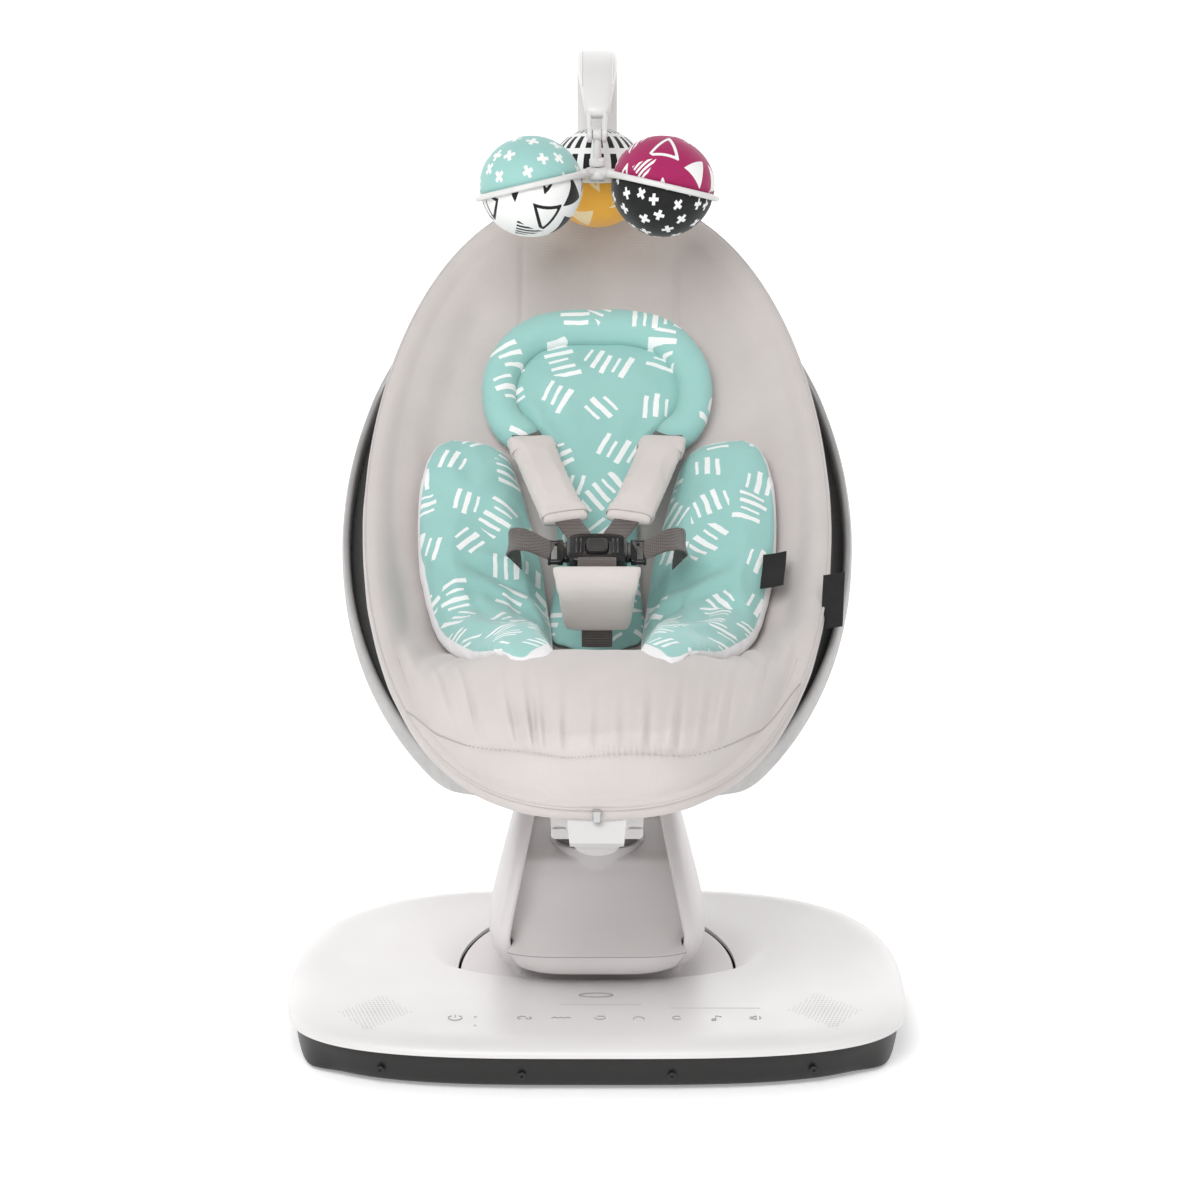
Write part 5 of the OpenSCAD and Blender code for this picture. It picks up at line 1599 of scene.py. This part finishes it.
def mobile_arm():
    """The arched arm: it narrows to a fork that holds the link's pin."""
    turn = np.radians(np.linspace(0, 151, 46))
    arch = np.stack([np.zeros(46), ARM_Y + ARM_R * np.cos(turn), ARM_Z + ARM_R * np.sin(turn)], 1)
    stem = np.stack([np.zeros(12), np.full(12, ARM_Y + ARM_R), np.linspace(580, ARM_Z - 4, 12)], 1)
    path = np.vstack([stem, arch])
    run = np.linspace(0, 1, len(path))
    wide = 16.6 - 8.2 * step(run, 0.68, 1.0) ** 1.2
    thick = 6.8 - 1.2 * step(run, 0.75, 1.0)
    points, ends = rounded_ends(path, 5, 6)
    grow = np.ones((len(points), 2))
    inner = np.linspace(0, 1, len(points))
    grow[:, 0] = np.interp(inner, run, wide) * (0.45 + 0.55 * ends)
    grow[:, 1] = np.interp(inner, run, thick) * (0.3 + 0.7 * ends)
    rings = sweep(points, oval(1, 1, 32, 3.4), [1, 0, 0], scale=grow)
    body = loft(rings)
    fork = []
    middle = np.array([0, SPIDER_Y, LINK_TOP])
    for side in (-1, 1):
        cheek = [middle + [side * 6.0 + dx, 0,
                           0] + np.column_stack([np.zeros(24), np.cos(a) * 6.4 * k, np.sin(a) * 6.4 * k])
                 for dx,
                 k in ((-1.9, 0.93), (-1.5, 1), (1.5, 1),
                       (1.9, 0.93)) for a in [np.linspace(0, 2 * math.pi, 25)[:-1]]]
        fork.append(loft(cheek))
        bar = spline([middle + [side * 6.0, 0, 0], middle + [side * 6.0, 4.8, 5.7],
                      middle + [side * 6.4, 12, 14]], 4)
        fork.append(loft(sweep(bar, oval(2.0, 6.0, 16, 3), [1, 0, 0])))
    fork.append(wire(middle + np.array([[-8.6, 0, 0], [0, 0, 0], [8.6, 0, 0]]), 1.9, sides=16))
    make("mobile_arch", *merge([body, *fork]), MOBILE, "arm", ["mobile_arm"], "mobile_white", sharp=50)
    # Lighter lines painted as highlights on the edges of the arm's raised centre panel.
    painted_lines = []
    for side in (-1, 1):
        line = np.stack([np.full(40, side * 12.4), ARM_Y + (ARM_R + 6.6) * np.cos(turn[:40]),
                         ARM_Z + (ARM_R + 6.6) * np.sin(turn[:40])], 1)
        painted_lines.append(wire(line, 0.45, sides=6))
    make("mobile_arch_highlights", *merge(painted_lines), HUB, "arm")


def turned(profile, centre, count=48):
    """A solid of revolution about a vertical axis from (radius, height) pairs."""
    t = np.linspace(0, 2 * math.pi, count + 1)[:-1]
    return loft([np.column_stack([centre[0] + r * np.cos(t), centre[1] + r * np.sin(t),
                                  np.full(count, centre[2] + z)])
                 for r, z in profile])


def mobile_link():
    """The link on the arm's pin: an eye, a stem, a knurled nut and the pin the star turns on."""
    at = (0, SPIDER_Y, 0)
    stem = turned([(2.6, 648), (3.5, 649.4), (3.5, 658), (3.3, 663), (3.0, 665)], at)
    eye = [np.column_stack([np.full(28, x), SPIDER_Y + r * np.cos(a), LINK_TOP + r * np.sin(a)])
           for x,
           r in ((-3.5, 4.6), (-3.1, 5), (3.1, 5),
                 (3.5, 4.6)) for a in [np.linspace(0, 2 * math.pi, 29)[:-1]]]
    t = np.linspace(0, 2 * math.pi, 121)[:-1]
    ridge = 1 + 0.06 * np.cos(t * 20)
    knurl = [np.column_stack([r * ridge * np.cos(t), SPIDER_Y + r * ridge * np.sin(t), np.full(120, z)])
             for r,
             z in ((4.2, 642.1), (5.6, 642.6), (6.0, 643.3), (6.0, 647.6), (5.4, 648.8), (3.4, 649.4))]
    pin = turned([(2.4, 630), (2.4, 644)], at)
    foot = turned([(4.8, 629.2), (6.0, 629.8), (6.0, 631.4), (5.2, 632.0)], at)
    make("mobile_hanger", *merge([stem, loft(eye), loft(knurl), pin, foot]), MOBILE, "link", ["mobile_link"],
         "mobile_white")


def ball_frame(angle):
    """Centre, outward, sideways and up directions of a ball; up is square to its hoop."""
    a = math.radians(angle)
    flat = np.array([math.sin(a), -math.cos(a), 0])
    lean = 0.0 if angle == 180 else math.copysign(HOOP_LEAN, angle)
    drop = 13.0 if angle == 180 else 5.0
    centre = np.array([0, SPIDER_Y, SPIDER_Z - drop]) + flat * BALL_REACH
    up = np.array([math.sin(lean), math.cos(lean) * math.sin(HOOP_PITCH),
                   math.cos(lean) * math.cos(HOOP_PITCH)])
    outward = unit(flat - up * (up @ flat))
    return centre, outward, np.cross(up, outward), up


def spider():
    """Three thin hoops that swell and flow together into a boss."""
    parts = [turned([(2.7, 632.6), (7.6, 632.2), (10.4, 633), (11.4, 635), (11.0, 638), (9.2, 640.4),
                     (6.8, 641.4), (2.7, 641.7)],
                    (0, SPIDER_Y, 0))]
    for angle in (-60, 60, 180):
        centre, outward, sideways, up = ball_frame(angle)
        t = np.linspace(0, 2 * math.pi, 97)[:-1]
        path = centre + HOOP_R * (np.outer(np.cos(t), outward) + np.outer(np.sin(t), sideways))
        near = bell(np.minimum(np.abs(t - math.pi), 9), 0.75)
        scale = np.stack([2.4 + 2.6 * near, 2.0 + 0.7 * near], 1)
        parts.append(loft(sweep(path, oval(1, 1, 14, 2.4), up, closed=True, scale=scale), closed=True))
        inner = centre - outward * HOOP_R
        start = np.array([0, SPIDER_Y, SPIDER_Z + 0.6]) + (inner - [0, SPIDER_Y, inner[2]]) * 0.2
        bar = spline([start, (start + inner) / 2 + [0, 0, 0.5], inner + up * 0.2], 5)
        wide = np.linspace(1.0, 1.25, len(bar))
        parts.append(loft(sweep(bar, oval(8.5, 4.0, 20, 2.4), sideways,
                                scale=np.stack([wide, np.linspace(1.2, 0.9, len(bar))], 1))))
        for side in (-1, 1):
            swing = math.pi + side * np.array([0.75, 0.5, 0.25])
            outer = centre + HOOP_R * (np.outer(np.cos(swing), outward) + np.outer(np.sin(swing), sideways))
            web = spline([*outer, start + [0, 0, 1.2]], 5)
            parts.append(loft(sweep(web, oval(1, 1, 14, 2.4), up, scale=np.linspace(2.0, 4.2, len(web)))))
    make("mobile_star", *merge(parts), MOBILE, "spider", ["mobile_spider"], "mobile_white", sharp=60)


def toy(name, angle, upper, lower, node, slot):
    """A stuffed ball of two printed halves, sewn together along its hoop."""
    centre, outward, sideways, up = ball_frame(angle)
    rows, cols = 49, 72
    tilt = np.linspace(0.03, math.pi - 0.03, rows)
    t = np.arange(cols) * 2 * math.pi / cols
    th, ph = np.meshgrid(tilt, t, indexing="ij")
    latitude = math.pi / 2 - th
    pucker = bell(latitude, 0.17) * (0.010 * np.cos(ph * 18) + 0.006 * np.cos(ph * 31 + 1))
    r = BALL_R * (1 - 0.045 * bell(latitude, 0.055) + pucker + 0.012 * lumps(np.cos(ph) * 60, latitude * 60,
        angle, 38) - 0.012)
    flat = np.stack([r * np.sin(th) * np.cos(ph), r * np.sin(th) * np.sin(ph), r * np.cos(th) * 0.975],
                    -1).reshape(-1, 3)
    points = centre + flat[:, :1] * outward + flat[:, 1:2] * sideways + flat[:, 2:] * up
    faces = grid_faces(rows, cols, wrap_cols=True)
    faces.append(tuple(range(cols)))
    faces.append(tuple((rows - 1) * cols + j for j in range(cols)))
    ball = make(name, points, faces, upper, "spider", [node], slot, sharp=180)
    ball.data.materials.append(lower)
    middle = (rows - 1) / 2
    below = [(i // cols) >= middle for i in range((rows - 1) * cols)] + [False, True]
    ball.data.polygons.foreach_set("material_index", [int(b) for b in below])
    reach = np.where(th < math.pi / 2, th, math.pi - th) * BALL_R
    side = np.where(th < math.pi / 2, 0.0, 400.0)
    flat_map_ball = np.stack([reach * np.cos(ph) + side, reach * np.sin(ph), np.zeros_like(th)],
                             -1).reshape(-1, 3) * MM
    set_attribute(ball, "cloth_map", flat_map_ball)
    return ball


def toys():
    """The three balls and their prints."""
    white, black = (0.86, 0.86, 0.85), (0.012, 0.012, 0.013)
    magenta, orange = (0.36, 0.016, 0.105), (0.83, 0.42, 0.06)
    toy("toy_ball_left", -60, cross_print("toy_teal_cross", TEAL, white, 0.021),
        shape_print("toy_white_shapes", white, black, 0.034, 0.0015, 0.3), "toy_left", "toy_teal")
    toy("toy_ball_right", 60, shape_print("toy_magenta_shapes", magenta, white, 0.034, 0.0014, 0.5),
        cross_print("toy_black_cross", black, white, 0.019), "toy_right", "toy_magenta")
    toy("toy_ball_rear", 180, bar_print("toy_bars", white, black, 22),
        shape_print("toy_orange_shapes", orange, (0.88, 0.70, 0.42), 0.036, 0.0016, 0.5), "toy_rear",
        "toy_orange")


# ---------------------------------------------------------------- floor, light and camera

def area_light(name, place, aim, size, watts, color=(1, 1, 1)):
    """A round soft light that belongs to the studio."""
    light = bpy.data.lights.new(name, "AREA")
    light.shape = "DISK"
    light.size = size
    light.energy = watts
    light.color = color
    obj = bpy.data.objects.new(name, light)
    obj.location = place
    obj.rotation_euler = (Vector(aim) - Vector(place)).to_track_quat("-Z", "Y").to_euler()
    bpy.context.scene.collection.objects.link(obj)


def studio():
    """A plain pale floor under an even white sky, with a large soft key in front and above."""
    made = Shader("floor_paper", (0.93, 0.93, 0.93), 0.9, Specular_IOR_Level=0.1)
    made.tint(1.2, 0.015).grain(300.0, 0.05, 0.0002)
    made.bsdf.inputs["Emission Color"].default_value = (1, 1, 1, 1)
    made.bsdf.inputs["Emission Strength"].default_value = 0.3
    mesh = bpy.data.meshes.new("floor")
    reach = 12.0
    mesh.from_pydata([(-reach, -reach, 0), (reach, -reach, 0), (reach, reach, 0), (-reach, reach, 0)], [],
                     [(0, 1, 2, 3)])
    mesh.materials.append(made.material)
    floor = bpy.data.objects.new("floor", mesh)
    bpy.context.scene.collection.objects.link(floor)
    glow = Shader("backdrop_paper", (1, 1, 1), 0.9)
    glow.bsdf.inputs["Emission Color"].default_value = (1, 1, 1, 1)
    glow.bsdf.inputs["Emission Strength"].default_value = 1.0
    wall = bpy.data.meshes.new("backdrop")
    wall.from_pydata([(-15, 6, -0.01), (15, 6, -0.01), (15, 6, 9), (-15, 6, 9)], [], [(0, 1, 2, 3)])
    wall.materials.append(glow.material)
    backdrop = bpy.data.objects.new("backdrop", wall)
    bpy.context.scene.collection.objects.link(backdrop)
    world = bpy.data.worlds.new("studio")
    world.use_nodes = True
    sky = world.node_tree.nodes["Background"]
    sky.inputs["Color"].default_value = (1, 1, 1, 1)
    sky.inputs["Strength"].default_value = 0.46
    bpy.context.scene.world = world
    area_light("key", (-0.7, -2.5, 2.4), (0, 0, 0.3), 2.2, 66)
    area_light("left", (-1.6, -1.0, 2.0), (0, 0, 0.4), 1.0, 3)
    area_light("right", (1.6, -1.0, 2.0), (0, 0, 0.4), 1.0, 3)


def camera():
    """Straight in front of the swing and a little above it, with a long lens."""
    data = bpy.data.cameras.new("camera")
    data.lens = 154.09
    data.sensor_width = 36
    obj = bpy.data.objects.new("camera", data)
    aim = Vector((0.0023, 0, 0.3372))
    rise = math.radians(14)
    obj.location = aim + Vector((0, -math.cos(rise), math.sin(rise))) * 4.0
    obj.rotation_euler = (aim - obj.location).to_track_quat("-Z", "Y").to_euler()
    bpy.context.scene.collection.objects.link(obj)
    bpy.context.scene.camera = obj


# ---------------------------------------------------------------- build

base_cover()
base_pan()
deck_marks()
grille("grille_left", -170.7, -126.5, 0.12)
grille("grille_right", 175.5, -121.9, -0.12)
turntable()
pedestal()
tower_shell()
front_panel()
seam_lines()
rail()
hub()
cad_finishes()
seat_cover()
seat_border()
hoop()
side_knit("side_knit_right", 1)
side_knit("side_knit_left", -1)
tags()
insert()
harness()
buckle()
mobile_arm()
mobile_link()
spider()
toys()
studio()
camera()
bpy.context.scene.view_settings.view_transform = "Standard"
